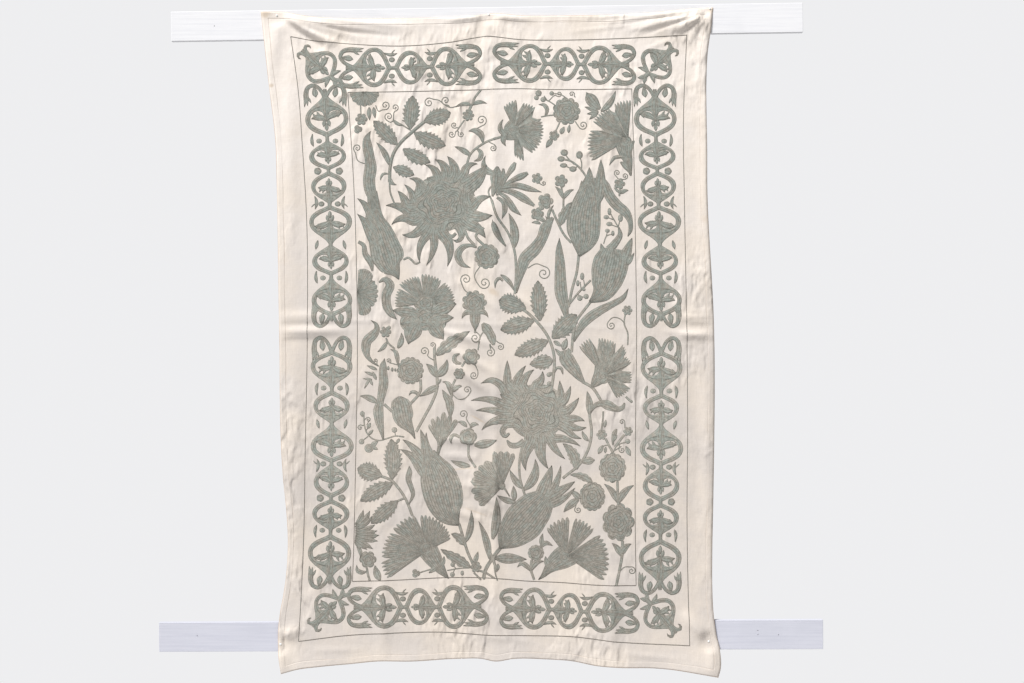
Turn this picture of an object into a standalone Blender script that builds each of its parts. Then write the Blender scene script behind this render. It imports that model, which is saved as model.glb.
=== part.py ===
# Embroidered cotton hanging, nailed to two painted wooden battens.
# Metres, +Z up, front towards -Y. The battens' backs lie in the plane y = 0, and the
# origin is the middle of the top batten's back.

import math

import bmesh
import bpy
import numpy as np

MM = 0.001

# Battens: planed boards with softly broken edges
BATTEN_WIDTH = 94 * MM
BATTEN_DEPTH = 19 * MM
BATTEN_EDGE = 1.2 * MM
TOP_BATTEN = {"length": 2022 * MM, "x": 0, "z": 0, "tilt": 0.82}
BOTTOM_BATTEN = {"length": 2125 * MM, "x": 13 * MM, "z": -1964 * MM, "tilt": 0.24}

# Cloth: one width of cotton with its narrow hems
CLOTH_THICKNESS = 1.5 * MM
NAILED_GAP = 0.3 * MM
FREE_GAP = 2.6 * MM
LEAST_GAP = 2.1 * MM
PINCH_FLAT = 15 * MM
PINCH_REACH = 42 * MM
COLUMNS = 38
ROWS = 46

# Nails, and the old nail holes that show in the boards
HEAD_RADIUS = 3.5 * MM
HEAD_HEIGHT = 1.6 * MM
SHANK_RADIUS = 1.0 * MM
SHANK_LENGTH = 16 * MM
NAIL_POINT = 1.5 * MM
FIT = 0.3 * MM
OLD_HOLE_RADIUS = 1.6 * MM
OLD_HOLE_DEPTH = 9 * MM
ROUND_SIDES = 12

# Outline of the hung cloth in mm, each edge from its first corner: (x, z)
LEFT_EDGE = [
    (-723, 32), (-709, -96), (-698, -195), (-675, -397), (-672, -506), (-664, -986), (-651, -1466),
    (-641, -1565), (-636, -1661), (-641, -1760), (-651, -1834), (-660, -1882), (-668, -1955),
    (-666, -2029), (-658, -2085),
]
RIGHT_EDGE = [
    (723, 46), (715, -29), (705, -102), (701, -198), (701, -272), (703, -419), (703, -502),
    (726, -986), (723, -1520), (720, -1677), (720, -1811), (723, -1878), (733, -1958),
    (744, -2006), (747, -2064), (739, -2096),
]
TOP_EDGE = [
    (-723, 32), (-650, 31), (-598, 21), (-483, 10), (-317, 10), (-154, 13), (-42, 18), (5, 26),
    (106, 19), (237, 19), (384, 21), (531, 29), (653, 41), (723, 46),
]
BOTTOM_EDGE = [
    (-658, -2085), (-605, -2070), (-531, -2061), (-432, -2053), (-358, -2045), (-237, -2044),
    (-90, -2036), (-16, -2036), (26, -2044), (83, -2036), (189, -2038), (275, -2044), (349, -2058),
    (429, -2065), (534, -2067), (614, -2074), (669, -2083), (739, -2096),
]

# Nails in mm: (name, x, z, batten)
NAILS = [
    ("nail_top_left", -672, 20, "top_batten"),
    ("nail_top_centre", 6, 23, "top_batten"),
    ("nail_top_right", 713, 42, "top_batten"),
    ("nail_bottom_left", -660, -1990, "bottom_batten"),
    ("nail_bottom_right", 709, -1981, "bottom_batten"),
]

# Old nail holes in mm: (x, z, batten)
OLD_HOLES = [
    (-872, -13, "top_batten"),
    (-927, -1964, "bottom_batten"),
    (867, -1947, "bottom_batten"),
    (867, -1960, "bottom_batten"),
    (933, -1961, "bottom_batten"),
]

# Folds in mm, a ridge where height is positive and a trough where it is negative:
# (start x, start z, end x, end z, half width, height)
FOLDS = [
    (-655, 12, -470, -62, 26, 14),
    (-662, 6, -500, -98, 12, -6),
    (-610, -4, -390, -80, 13, -5),
    (-560, 2, -200, -26, 18, 6),
    (-672, 0, -690, -180, 20, 5),
    (682, 28, 360, -4, 15, 6),
    (684, 22, 430, -28, 15, 7),
    (688, 17, 528, -40, 13, 8),
    (692, 12, 585, -46, 12, 8),
    (698, 6, 636, -66, 13, 7),
    (701, 0, 690, -230, 13, 5),
    (-4, 18, -140, 4, 13, 5),
    (16, 18, 150, 8, 13, 5),
    (6, 4, 8, -130, 20, 5),
    (24, -130, 29, -1050, 22, 4),
    (29, -1050, 26, -2040, 22, 4),
    (-664, -944, -430, -940, 16, 5),
    (-660, -992, -420, -986, 16, 8),
    (612, -1002, 724, -1002, 16, 8),
    (618, -947, 724, -941, 15, 5),
    (42, -554, -54, -762, 44, 8),
    (-150, -1018, 42, -1210, 44, 8),
    (-64, -1430, 42, -1568, 42, 7),
    (-656, -1986, -600, -1920, 17, 10),
    (-656, -2000, -652, -2084, 18, 6),
    (706, -1977, 622, -1884, 19, 10),
    (712, -1992, 728, -2092, 17, 6),
    (698, -230, 703, -900, 22, 6),
    (706, -1030, 704, -1850, 22, 6),
    (-630, -130, -622, -930, 26, 5),
    (-612, -1020, -604, -1850, 26, 5),
    (-333, -1760, -333, -2046, 22, 6),
    (400, -1760, 402, -2062, 22, 6),
]

# Broad swells of the slack cloth in mm: (centre x, centre z, reach x, reach z, height)
SWELLS = [
    (-330, -330, 260, 300, 9),
    (270, -480, 280, 380, 11),
    (-330, -1050, 240, 420, 8),
    (150, -1120, 300, 300, 12),
    (-110, -1540, 300, 260, 11),
    (430, -1500, 220, 360, 8),
    (30, -1880, 520, 130, 6),
]

# Waves of the loose hem under the bottom batten in mm
HEM_TOP = -1985
HEM_DROP = 90
HEM_WAVE = 8
HEM_PITCH = 310

# Where the mesh lines stand closer: (place from 0 to 1, reach, strength)
COLUMN_CROWDS = [(0, 0.09, 5), (1, 0.11, 5), (0.505, 0.02, 3), (0.22, 0.02, 1.5), (0.76, 0.02, 1.5)]
ROW_CROWDS = [(0, 0.05, 6), (0.475, 0.02, 4), (0.952, 0.02, 6), (1, 0.03, 2)]


def material(name, colour, roughness, metallic=0.0):
    made = bpy.data.materials.new(name)
    made.use_nodes = True
    shader = made.node_tree.nodes["Principled BSDF"]
    shader.inputs["Base Color"].default_value = (*colour, 1)
    shader.inputs["Roughness"].default_value = roughness
    shader.inputs["Metallic"].default_value = metallic
    made.diffuse_color = (*colour, 1)
    return made


def object_of(name, form, surface):
    """Turns a finished bmesh into a linked object with outward faces."""
    bmesh.ops.recalc_face_normals(form, faces=form.faces)
    mesh = bpy.data.meshes.new(name)
    form.to_mesh(mesh)
    form.free()
    mesh.materials.append(surface)
    made = bpy.data.objects.new(name, mesh)
    bpy.context.scene.collection.objects.link(made)
    return made


def graded(count, crowds):
    """Places from 0 to 1, closer together at each crowd."""
    fine = np.linspace(0, 1, 2001)
    density = np.ones_like(fine)
    for place, reach, strength in crowds:
        density += strength * np.exp(-(((fine - place) / reach) ** 2))
    filled = np.concatenate([[0], np.cumsum((density[1:] + density[:-1]) / 2)])
    return np.interp(np.linspace(0, filled[-1], count + 1), filled, fine)


def along(edge, share):
    """Points at these shares of an edge's length, on a smooth curve through its points."""
    points = np.array(edge, float) * MM
    reach = np.concatenate([[0], np.cumsum(np.hypot(*np.diff(points, axis=0).T))])
    slopes = np.gradient(points, reach, axis=0)
    wanted = share * reach[-1]
    step = np.clip(np.searchsorted(reach, wanted, side="right") - 1, 0, len(reach) - 2)
    span = (reach[step + 1] - reach[step])[:, None]
    t = ((wanted - reach[step]) / span[:, 0])[:, None]
    return (
        (2 * t**3 - 3 * t**2 + 1) * points[step]
        + (t**3 - 2 * t**2 + t) * span * slopes[step]
        + (3 * t**2 - 2 * t**3) * points[step + 1]
        + (t**3 - t**2) * span * slopes[step + 1]
    )


def hung_outline(across, down):
    """X and Z of the cloth's grid: the surface patch between its four uneven edges."""
    left, right = along(LEFT_EDGE, down)[:, None], along(RIGHT_EDGE, down)[:, None]
    top, bottom = along(TOP_EDGE, across)[None], along(BOTTOM_EDGE, across)[None]
    u, v = across[None, :, None], down[:, None, None]
    corners = (
        (1 - u) * (1 - v) * top[:, :1] + u * (1 - v) * top[:, -1:]
        + (1 - u) * v * bottom[:, :1] + u * v * bottom[:, -1:]
    )
    patch = (1 - u) * left + u * right + (1 - v) * top + v * bottom - corners
    return patch[..., 0], patch[..., 1]


def fold_height(x, z):
    """Sum of the folds: a soft bell across each one, swelling from its start and fading to its end."""
    total = np.zeros_like(x)
    for x0, z0, x1, z1, half_width, height in FOLDS:
        run = np.array([x1 - x0, z1 - z0]) * MM
        length = math.hypot(*run)
        ahead = ((x - x0 * MM) * run[0] + (z - z0 * MM) * run[1]) / length
        aside = ((x - x0 * MM) * run[1] - (z - z0 * MM) * run[0]) / length
        share = np.clip(ahead / length, 0, 1)
        swell = np.sin(math.pi * share**0.7) ** 0.8
        total += height * MM * swell * np.exp(-((aside / (half_width * MM)) ** 2))
    return total


def swell_height(x, z):
    total = np.zeros_like(x)
    for centre_x, centre_z, reach_x, reach_z, height in SWELLS:
        away = ((x / MM - centre_x) / reach_x) ** 2 + ((z / MM - centre_z) / reach_z) ** 2
        total += height * MM * np.exp(-away)
    return total


def hem_height(x, z):
    loose = np.clip((HEM_TOP * MM - z) / (HEM_DROP * MM), 0, 1)
    wave = 0.5 + 0.5 * np.sin(2 * math.pi * x / (HEM_PITCH * MM) + 0.6)
    return HEM_WAVE * MM * loose**1.5 * wave


def freedom(x, z):
    """0 where a nail holds the cloth down, rising to 1 out of its reach."""
    free = np.ones_like(x)
    for _, nail_x, nail_z, _ in NAILS:
        away = np.hypot(x - nail_x * MM, z - nail_z * MM)
        share = np.clip((away - PINCH_FLAT) / (PINCH_REACH - PINCH_FLAT), 0, 1)
        free = np.minimum(free, share * share * (3 - 2 * share))
    return free


def cloth(surface):
    across, down = graded(COLUMNS, COLUMN_CROWDS), graded(ROWS, ROW_CROWDS)
    x, z = hung_outline(across, down)
    loose = FREE_GAP + fold_height(x, z) + swell_height(x, z) + hem_height(x, z)
    loose = np.maximum(loose, LEAST_GAP)
    gap = NAILED_GAP + (loose - NAILED_GAP) * freedom(x, z)
    back = -BATTEN_DEPTH - gap

    form = bmesh.new()
    sides = []
    for depth in (back - CLOTH_THICKNESS, back):
        spots = zip(x.flat, depth.flat, z.flat)
        sides.append(np.array([form.verts.new(spot) for spot in spots]).reshape(x.shape))
    for row in range(ROWS):
        for column in range(COLUMNS):
            for side in sides:
                form.faces.new((
                    side[row, column], side[row + 1, column],
                    side[row + 1, column + 1], side[row, column + 1],
                ))
    rims = [
        (side[0, :], side[:, -1], side[-1, ::-1], side[::-1, 0])
        for side in sides
    ]
    for front_rim, back_rim in zip(*rims):
        for n in range(len(front_rim) - 1):
            form.faces.new((front_rim[n], front_rim[n + 1], back_rim[n + 1], back_rim[n]))
    made = object_of("suzani_cloth", form, surface)
    made.data.shade_smooth()
    return made


def batten(name, size, surface):
    form = bmesh.new()
    bmesh.ops.create_cube(form, size=1)
    bmesh.ops.scale(form, vec=(size["length"], BATTEN_DEPTH, BATTEN_WIDTH), verts=form.verts)
    bmesh.ops.translate(form, vec=(0, -BATTEN_DEPTH / 2, 0), verts=form.verts)
    made = object_of(name, form, surface)
    made.location = (size["x"], 0, size["z"])
    made.rotation_euler = (0, math.radians(-size["tilt"]), 0)
    edges = made.modifiers.new("broken edges", "BEVEL")
    edges.width = BATTEN_EDGE
    edges.segments = 2
    return made


def drill(name, x, z, radius, front, back):
    """Hidden cutter: a round bar along Y from front to back."""
    form = bmesh.new()
    bmesh.ops.create_cone(
        form, cap_ends=True, segments=ROUND_SIDES, radius1=radius, radius2=radius, depth=back - front
    )
    made = object_of(name, form, None)
    made.location = (x, (front + back) / 2, z)
    made.rotation_euler = (math.pi / 2, 0, 0)
    made.display_type = "WIRE"
    made.hide_render = True
    return made


def cut(piece, cutter):
    hole = piece.modifiers.new(cutter.name, "BOOLEAN")
    hole.operation = "DIFFERENCE"
    hole.solver = "EXACT"
    hole.object = cutter


def nail(name, x, z, surface):
    """A domed head on a thin pointed shank, spun round the Y axis."""
    profile = [
        (0, -HEAD_HEIGHT), (0.45 * HEAD_RADIUS, -0.92 * HEAD_HEIGHT), (0.82 * HEAD_RADIUS, -0.62 * HEAD_HEIGHT),
        (HEAD_RADIUS, -0.2 * HEAD_HEIGHT), (HEAD_RADIUS, 0), (SHANK_RADIUS, 0),
        (SHANK_RADIUS, SHANK_LENGTH - NAIL_POINT), (0, SHANK_LENGTH),
    ]
    form = bmesh.new()
    spots = [form.verts.new((radius, depth, 0)) for radius, depth in profile]
    for first, second in zip(spots, spots[1:]):
        form.edges.new((first, second))
    bmesh.ops.spin(
        form, geom=form.verts[:] + form.edges[:], cent=(0, 0, 0), axis=(0, 1, 0),
        angle=2 * math.pi, steps=ROUND_SIDES, use_merge=True,
    )
    bmesh.ops.remove_doubles(form, verts=form.verts, dist=0.01 * MM)
    made = object_of(name, form, surface)
    made.data.shade_smooth()
    head_seat = -BATTEN_DEPTH - NAILED_GAP - CLOTH_THICKNESS - FIT
    made.location = (x, head_seat, z)
    return made


for old in list(bpy.data.objects):
    bpy.data.objects.remove(old)

cotton = material("embroidered cotton", (0.78, 0.70, 0.62), 0.9)
paint = material("white paint", (0.86, 0.87, 0.90), 0.55)
enamel = material("white enamel", (0.85, 0.83, 0.80), 0.4)

hanging = cloth(cotton)
battens = {
    "top_batten": batten("top_batten", TOP_BATTEN, paint),
    "bottom_batten": batten("bottom_batten", BOTTOM_BATTEN, paint),
}

# Each nail passes through the cloth and into its batten with a little room all round
DRILL_FRONT = -BATTEN_DEPTH - 12 * MM
DRILL_BACK = -BATTEN_DEPTH - NAILED_GAP - CLOTH_THICKNESS - FIT + SHANK_LENGTH + FIT
for label, nail_x, nail_z, board in NAILS:
    nail(label, nail_x * MM, nail_z * MM, enamel)
    bore = drill(
        f"bore_{label}", nail_x * MM, nail_z * MM, SHANK_RADIUS + FIT, DRILL_FRONT, DRILL_BACK
    )
    cut(hanging, bore)
    cut(battens[board], bore)

for number, (hole_x, hole_z, board) in enumerate(OLD_HOLES, 1):
    bore = drill(
        f"old_hole_{number}", hole_x * MM, hole_z * MM, OLD_HOLE_RADIUS,
        -BATTEN_DEPTH - 5 * MM, -BATTEN_DEPTH + OLD_HOLE_DEPTH,
    )
    cut(battens[board], bore)
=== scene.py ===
# Embroidered cotton hanging on two painted battens: the cloth, its chain stitch and the finishes.
# Metres, +Z up, front towards -Y. Motifs are charted in units of 3.2 mm, x to the right and y down,
# and the chart's middle mark stands for the middle of the top batten.

import math

import bpy
import numpy as np
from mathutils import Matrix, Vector


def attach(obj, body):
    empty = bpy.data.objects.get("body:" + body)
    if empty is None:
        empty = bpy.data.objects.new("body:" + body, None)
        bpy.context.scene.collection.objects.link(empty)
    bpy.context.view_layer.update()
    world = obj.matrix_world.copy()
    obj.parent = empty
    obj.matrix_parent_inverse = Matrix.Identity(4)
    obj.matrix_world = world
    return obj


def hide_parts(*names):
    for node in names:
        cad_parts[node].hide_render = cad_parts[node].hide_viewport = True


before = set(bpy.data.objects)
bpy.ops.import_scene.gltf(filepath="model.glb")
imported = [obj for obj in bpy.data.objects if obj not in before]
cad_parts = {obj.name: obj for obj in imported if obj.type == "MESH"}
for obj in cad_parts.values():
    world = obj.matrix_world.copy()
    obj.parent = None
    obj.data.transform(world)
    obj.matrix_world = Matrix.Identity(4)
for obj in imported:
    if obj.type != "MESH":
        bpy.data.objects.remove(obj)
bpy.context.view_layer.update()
mm = 0.001
print("frame loaded:", len(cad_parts), "nodes")

# The chart: one unit in mm and in metres, and the place of its middle mark
unitInMm = 3.2
chart = {"unit": unitInMm * mm, "middle": (487, 22)}

# The cloth as it hangs. Outline edges and folds are in mm from the middle of the top batten.
cloth = {
    "battenFace": -19 * mm,
    "thickness": 1.1 * mm,
    "thickAtNail": 1.45 * mm,
    "nailedGap": 0.35 * mm,
    "freeGap": 2.9 * mm,        # behind the cloth, away from the nails
    "leastGap": 2.2 * mm,
    "pinchFlat": 13 * mm,       # the cloth lies flat this far round a nail,
    "pinchReach": 42 * mm,      # and is free from here on
    "columns": 176,
    # Rows of its mesh, as share down and rows so far
    "rowSteps": [(0.0, 0), (0.085, 37), (0.44, 117), (0.50, 141), (0.95, 240), (1.0, 262)],
    "cutSize": (1.43, 2.10),
}
leftEdge = [
    (-723, 32), (-709, -96), (-698, -195), (-675, -397), (-672, -506), (-664, -986), (-651, -1466),
    (-641, -1565), (-636, -1661), (-641, -1760), (-651, -1834), (-660, -1882), (-668, -1955),
    (-666, -2029), (-658, -2085),
]
rightEdge = [
    (723, 46), (715, -29), (705, -102), (701, -198), (701, -272), (703, -419), (703, -502), (726, -986),
    (723, -1520), (720, -1677), (720, -1811), (723, -1878), (733, -1958), (744, -2006), (747, -2064),
    (739, -2096),
]
topEdge = [
    (-723, 32), (-650, 31), (-598, 21), (-483, 10), (-317, 10), (-154, 13), (-42, 18), (5, 26),
    (106, 19), (237, 19), (384, 21), (531, 29), (653, 41), (723, 46),
]
bottomEdge = [
    (-658, -2085), (-605, -2070), (-531, -2061), (-432, -2053), (-358, -2045), (-237, -2044),
    (-90, -2036), (-16, -2036), (26, -2044), (83, -2036), (189, -2038), (275, -2044), (349, -2058),
    (429, -2065), (534, -2067), (614, -2074), (669, -2083), (739, -2096),
]
nailSpots = [(-672, 20), (6, 23), (713, 42), (-660, -1990), (709, -1981)]

# Folds, a ridge where height is positive: start x, start z, end x, end z, half width, height
folds = [
    (-655, 12, -470, -62, 26, 14),
    (-662, 6, -500, -98, 12, -6),
    (-610, -4, -390, -80, 13, -5),
    (-560, 2, -200, -26, 18, 6),
    (-672, 0, -690, -180, 20, 5),
    (682, 28, 360, -4, 15, 6),
    (684, 22, 430, -28, 15, 7),
    (688, 17, 528, -40, 13, 8),
    (692, 12, 585, -46, 12, 8),
    (698, 6, 636, -66, 13, 7),
    (701, 0, 690, -230, 13, 5),
    (-4, 18, -140, 4, 13, 5),
    (16, 18, 150, 8, 13, 5),
    (6, 4, 8, -130, 20, 5),
    (24, -130, 29, -1050, 22, 4),
    (29, -1050, 26, -2040, 22, 4),
    (-664, -944, -430, -940, 16, 5),
    (-660, -992, -420, -986, 16, 8),
    (612, -1002, 724, -1002, 16, 8),
    (618, -947, 724, -941, 15, 5),
    (42, -554, -54, -762, 44, 8),
    (-150, -1018, 42, -1210, 44, 8),
    (-64, -1430, 42, -1568, 42, 7),
    (-656, -1986, -600, -1920, 17, 10),
    (-656, -2000, -652, -2084, 18, 6),
    (706, -1977, 622, -1884, 19, 10),
    (712, -1992, 728, -2092, 17, 6),
    (698, -230, 703, -900, 22, 6),
    (706, -1030, 704, -1850, 22, 6),
    (-630, -130, -622, -930, 26, 5),
    (-612, -1020, -604, -1850, 26, 5),
    (-333, -1760, -333, -2046, 22, 6),
    (400, -1760, 402, -2062, 22, 6),
]
# Small creases and ripples on top of them, in the same columns
creases = [
    (-660, 14, -512, -86, 7, -3.4),
    (-640, 6, -500, -70, 9, 2.4),
    (-600, -10, -450, -72, 6, -2.6),
    (-600, 4, -300, -40, 7, 2.4),
    (-560, -6, -380, -46, 5, -2.0),
    (-520, 8, -240, -22, 6, 1.8),
    (-450, -30, -250, -52, 7, -1.6),
    (-380, -4, -120, -12, 8, 1.6),
    (-676, -20, -640, -120, 9, 1.8),
    (682, 36, 362, -4, 6, 2.8),
    (674, 29, 350, -20, 5, -2.6),
    (694, 27, 442, -34, 6, 3.0),
    (700, 27, 490, -46, 5, -2.8),
    (704, 24, 552, -52, 6, 3.0),
    (707, 22, 596, -56, 5, -2.8),
    (710, 20, 628, -50, 6, 2.6),
    (610, 30, 320, 10, 6, 2.0),
    (560, 14, 300, 0, 5, -1.8),
    (460, -10, 250, -36, 7, 1.8),
    (600, -52, 500, -92, 7, 2.0),
    (690, -50, 660, -220, 10, 2.0),
    (-20, 14, -150, 0, 5, 1.8),
    (24, 14, 160, 4, 5, 1.8),
    (2, 2, -10, -90, 8, 1.6),
    (21, -60, 28, -1040, 7, 1.6),
    (28, -1040, 25, -2040, 7, 1.8),
    (-333, -120, -330, -2046, 7, 1.0),
    (400, -120, 401, -2062, 7, 1.0),
    (-664, -958, -300, -956, 7, 1.8),
    (-300, -960, 560, -985, 8, 1.2),
    (560, -990, 724, -1003, 7, 1.8),
    (640, -962, 724, -960, 6, 1.8),
    (640, -925, 724, -922, 6, 1.5),
    (630, -1030, 724, -1040, 6, 1.3),
    (-660, -1010, -520, -1006, 6, 1.6),
    (-80, -1006, 20, -1080, 14, 3.0),
    (-60, -880, 60, -1000, 16, 2.2),
    (-120, -1100, -10, -1180, 13, 2.2),
    (-112, -1430, -38, -1440, 9, 2.4),
    (-130, -1466, 30, -1500, 10, 2.0),
    (-70, -1542, 50, -1572, 11, 2.6),
    (20, -1700, 60, -1830, 10, 1.6),
    (120, -420, 60, -560, 16, 2.4),
    (200, -330, 160, -470, 18, 2.2),
    (-10, -600, -80, -700, 14, 2.4),
    (-40, -1960, 160, -1985, 10, 1.8),
    (300, -1890, 420, -1925, 10, 1.6),
    (-560, -2010, -380, -2006, 10, 1.6),
    (440, -2020, 640, -2040, 10, 1.8),
    (-70, -470, 20, -640, 12, 6.5),
    (-30, -560, 60, -700, 11, 7.0),
    (10, -640, 80, -790, 11, 6.0),
    (-100, -820, 40, -930, 11, 5.5),
    (60, -860, 180, -930, 12, 4.0),
    (-150, -985, 40, -1040, 11, 7.5),
    (-130, -1040, 40, -1130, 11, 7.4),
    (-110, -1090, 10, -1190, 11, 7.4),
    (-130, -1150, 0, -1262, 11, 7.4),
    (-70, -1215, 30, -1300, 11, 7.5),
    (-150, -1330, 0, -1350, 10, 6.5),
    (-140, -1385, -20, -1396, 9, 6.0),
    (-60, -1470, 50, -1560, 11, 7.5),
    (-110, -1560, 0, -1600, 10, 6.0),
    (-300, -1240, -240, -1480, 12, 3.0),
    (180, -1480, 260, -1640, 13, 3.6),
]
# Broad swells of the slack cloth: centre x, centre z, reach x, reach z, height
swells = [
    (-330, -330, 260, 300, 9),
    (270, -480, 280, 380, 11),
    (-330, -1050, 240, 420, 8),
    (150, -1120, 300, 300, 12),
    (-110, -1540, 300, 260, 11),
    (430, -1500, 220, 360, 8),
    (30, -1880, 520, 130, 6),
]
hem = {"top": -1985, "drop": 90, "wave": 8, "pitch": 310}


# Smooth curve: a cubic Hermite spline through the points, read at these shares of its length
def splineAt(points, share):
    points = np.array(points, float)
    reach = np.concatenate([[0], np.cumsum(np.sqrt((np.diff(points[:, :2], axis=0) ** 2).sum(1)))])
    slopes = np.gradient(points, reach, axis=0)
    wanted = np.asarray(share) * reach[-1]
    step = np.clip(np.searchsorted(reach, wanted, side="right") - 1, 0, len(reach) - 2)
    span = (reach[step + 1] - reach[step])[:, None]
    t = (wanted - reach[step])[:, None] / span
    return (
        (2 * t**3 - 3 * t**2 + 1) * points[step]
        + (t**3 - 2 * t**2 + t) * span * slopes[step]
        + (3 * t**2 - 2 * t**3) * points[step + 1]
        + (t**3 - t**2) * span * slopes[step + 1]
    )


# Height of the folds: across each one a bell, exp(-(distance / half width)^2), that swells and fades along it
def foldHeight(x, z, table):
    total = np.zeros_like(x)
    for x0, z0, x1, z1, halfWidth, height in table:
        runX, runZ = (x1 - x0) * mm, (z1 - z0) * mm
        length = math.hypot(runX, runZ)
        ahead = ((x - x0 * mm) * runX + (z - z0 * mm) * runZ) / length
        aside = ((x - x0 * mm) * runZ - (z - z0 * mm) * runX) / length
        share = np.clip(ahead / length, 0, 1)
        swell = np.sin(math.pi * share**0.7) ** 0.8
        total += height * mm * swell * np.exp(-((aside / (halfWidth * mm)) ** 2))
    return total


# Height of the swells: a wide bell round each centre
def swellHeight(x, z):
    total = np.zeros_like(x)
    for centreX, centreZ, reachX, reachZ, height in swells:
        away = ((x / mm - centreX) / reachX) ** 2 + ((z / mm - centreZ) / reachZ) ** 2
        total += height * mm * np.exp(-away)
    return total


# How free the cloth is: 0 at a nail, rising smoothly to 1 at the pinch's reach
def freedomAt(x, z):
    free = np.ones_like(x)
    for nailX, nailZ in nailSpots:
        away = np.hypot(x - nailX * mm, z - nailZ * mm)
        share = np.clip((away - cloth["pinchFlat"]) / (cloth["pinchReach"] - cloth["pinchFlat"]), 0, 1)
        free = np.minimum(free, share * share * (3 - 2 * share))
    return free


# Y of the cloth's back: the batten's face, less the free gap with its folds, swells and hem wave
def clothBack(x, z):
    loose = np.clip((hem["top"] * mm - z) / (hem["drop"] * mm), 0, 1)
    wave = 0.5 + 0.5 * np.sin(2 * math.pi * x / (hem["pitch"] * mm) + 0.6)
    gap = cloth["freeGap"] + swellHeight(x, z) + foldHeight(x, z, folds)
    gap = gap + hem["wave"] * mm * loose**1.5 * wave
    gap = np.maximum(np.maximum(gap, cloth["leastGap"]) + foldHeight(x, z, creases), cloth["leastGap"])
    return cloth["battenFace"] - cloth["nailedGap"] - (gap - cloth["nailedGap"]) * freedomAt(x, z)


# Y of the cloth's front: its back less the thickness, which grows towards a nail
def clothFront(x, z):
    pinned = 1 - freedomAt(x, z)
    return clothBack(x, z) - cloth["thickness"] - (cloth["thickAtNail"] - cloth["thickness"]) * pinned


# Corners of every cell of a grid, in the order left top, left bottom, right bottom, right top
def cellCorners(grid):
    return np.stack([grid[:-1, :-1], grid[1:, :-1], grid[1:, 1:], grid[:-1, 1:]], 2)


# Mesh from arrays: corner numbers of its quads and triangles, with one UV for each corner
def meshOf(name, places, quads, quadUvs, triangles=None, triangleUvs=None, rim=None):
    mesh = bpy.data.meshes.new(name)
    loops = [quads.reshape(-1)]
    uvs = [quadUvs.reshape(-1, 2)]
    counts = [np.full(len(quads), 4)]
    if triangles is not None and len(triangles):
        loops.append(triangles.reshape(-1))
        uvs.append(triangleUvs.reshape(-1, 2))
        counts.append(np.full(len(triangles), 3))
    loops, counts = np.concatenate(loops), np.concatenate(counts)
    mesh.vertices.add(len(places))
    mesh.vertices.foreach_set("co", places.astype(np.float32).reshape(-1))
    mesh.loops.add(len(loops))
    mesh.loops.foreach_set("vertex_index", loops.astype(np.int32))
    mesh.polygons.add(len(counts))
    mesh.polygons.foreach_set("loop_start", (np.cumsum(counts) - counts).astype(np.int32))
    mesh.update(calc_edges=True)
    layer = mesh.uv_layers.new(name="UVMap")
    layer.data.foreach_set("uv", np.concatenate(uvs).astype(np.float32).reshape(-1))
    if rim is not None:
        mesh.attributes.new("rim", "FLOAT", "POINT").data.foreach_set("value", rim.astype(np.float32))
    mesh.validate()
    mesh.shade_smooth()
    piece = bpy.data.objects.new(name, mesh)
    bpy.context.scene.collection.objects.link(piece)
    return piece


# The cloth: the patch between its four edges, u across and v down, as a front and a back joined at the rim
def makeCloth():
    across = np.linspace(0, 1, cloth["columns"] + 1)
    shares, counts = zip(*cloth["rowSteps"])
    down = np.interp(np.arange(counts[-1] + 1), counts, shares)
    left, right = splineAt(leftEdge, down)[:, None] * mm, splineAt(rightEdge, down)[:, None] * mm
    top, bottom = splineAt(topEdge, across)[None] * mm, splineAt(bottomEdge, across)[None] * mm
    u, v = across[None, :, None], down[:, None, None]
    corners = (
        (1 - u) * (1 - v) * top[:, :1] + u * (1 - v) * top[:, -1:]
        + (1 - u) * v * bottom[:, :1] + u * v * bottom[:, -1:]
    )
    patch = (1 - u) * left + u * right + (1 - v) * top + v * bottom - corners
    x, z = patch[..., 0], patch[..., 1]
    places = np.concatenate([
        np.stack([x, clothFront(x, z), z], -1).reshape(-1, 3),
        np.stack([x, clothBack(x, z), z], -1).reshape(-1, 3),
    ])
    tall, wide = x.shape
    number = np.arange(tall * wide).reshape(tall, wide)
    front = cellCorners(number).reshape(-1, 4)
    back = front[:, ::-1] + tall * wide
    rim = np.concatenate([number[0, :-1], number[:-1, -1], number[-1, :0:-1], number[:0:-1, 0]])
    rimNext = np.roll(rim, -1)
    sides = np.stack([rim, rimNext, rimNext + tall * wide, rim + tall * wide], -1)
    quads = np.concatenate([front, back, sides])
    flat = np.stack([
        np.broadcast_to(across[None] * cloth["cutSize"][0], x.shape),
        np.broadcast_to((1 - down[:, None]) * cloth["cutSize"][1], x.shape),
    ], -1).reshape(-1, 2)
    flat = np.concatenate([flat, flat])
    return meshOf("suzani_sheet", places, quads, flat[quads])


sheetPiece = makeCloth()
print("cloth:", len(sheetPiece.data.polygons), "faces")

# Embroidery: chain-stitch rows laid side by side, slightly raised, with one ridge for each row
stitch = {
    "rowWidth": 1.3,        # chart units between rows
    "rise": 0.8 * mm,
    "ridge": 0.20 * mm,
    "edgeSink": 0.25 * mm,
    "layerStep": 0.4 * mm,
    "alongStep": 2.2,       # chart units between rings or stations
    "fieldHalf": 318,       # chart height at which the field is cut into an upper and a lower piece
}
stitching = {"groups": {}, "group": "", "fine": True}


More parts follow.
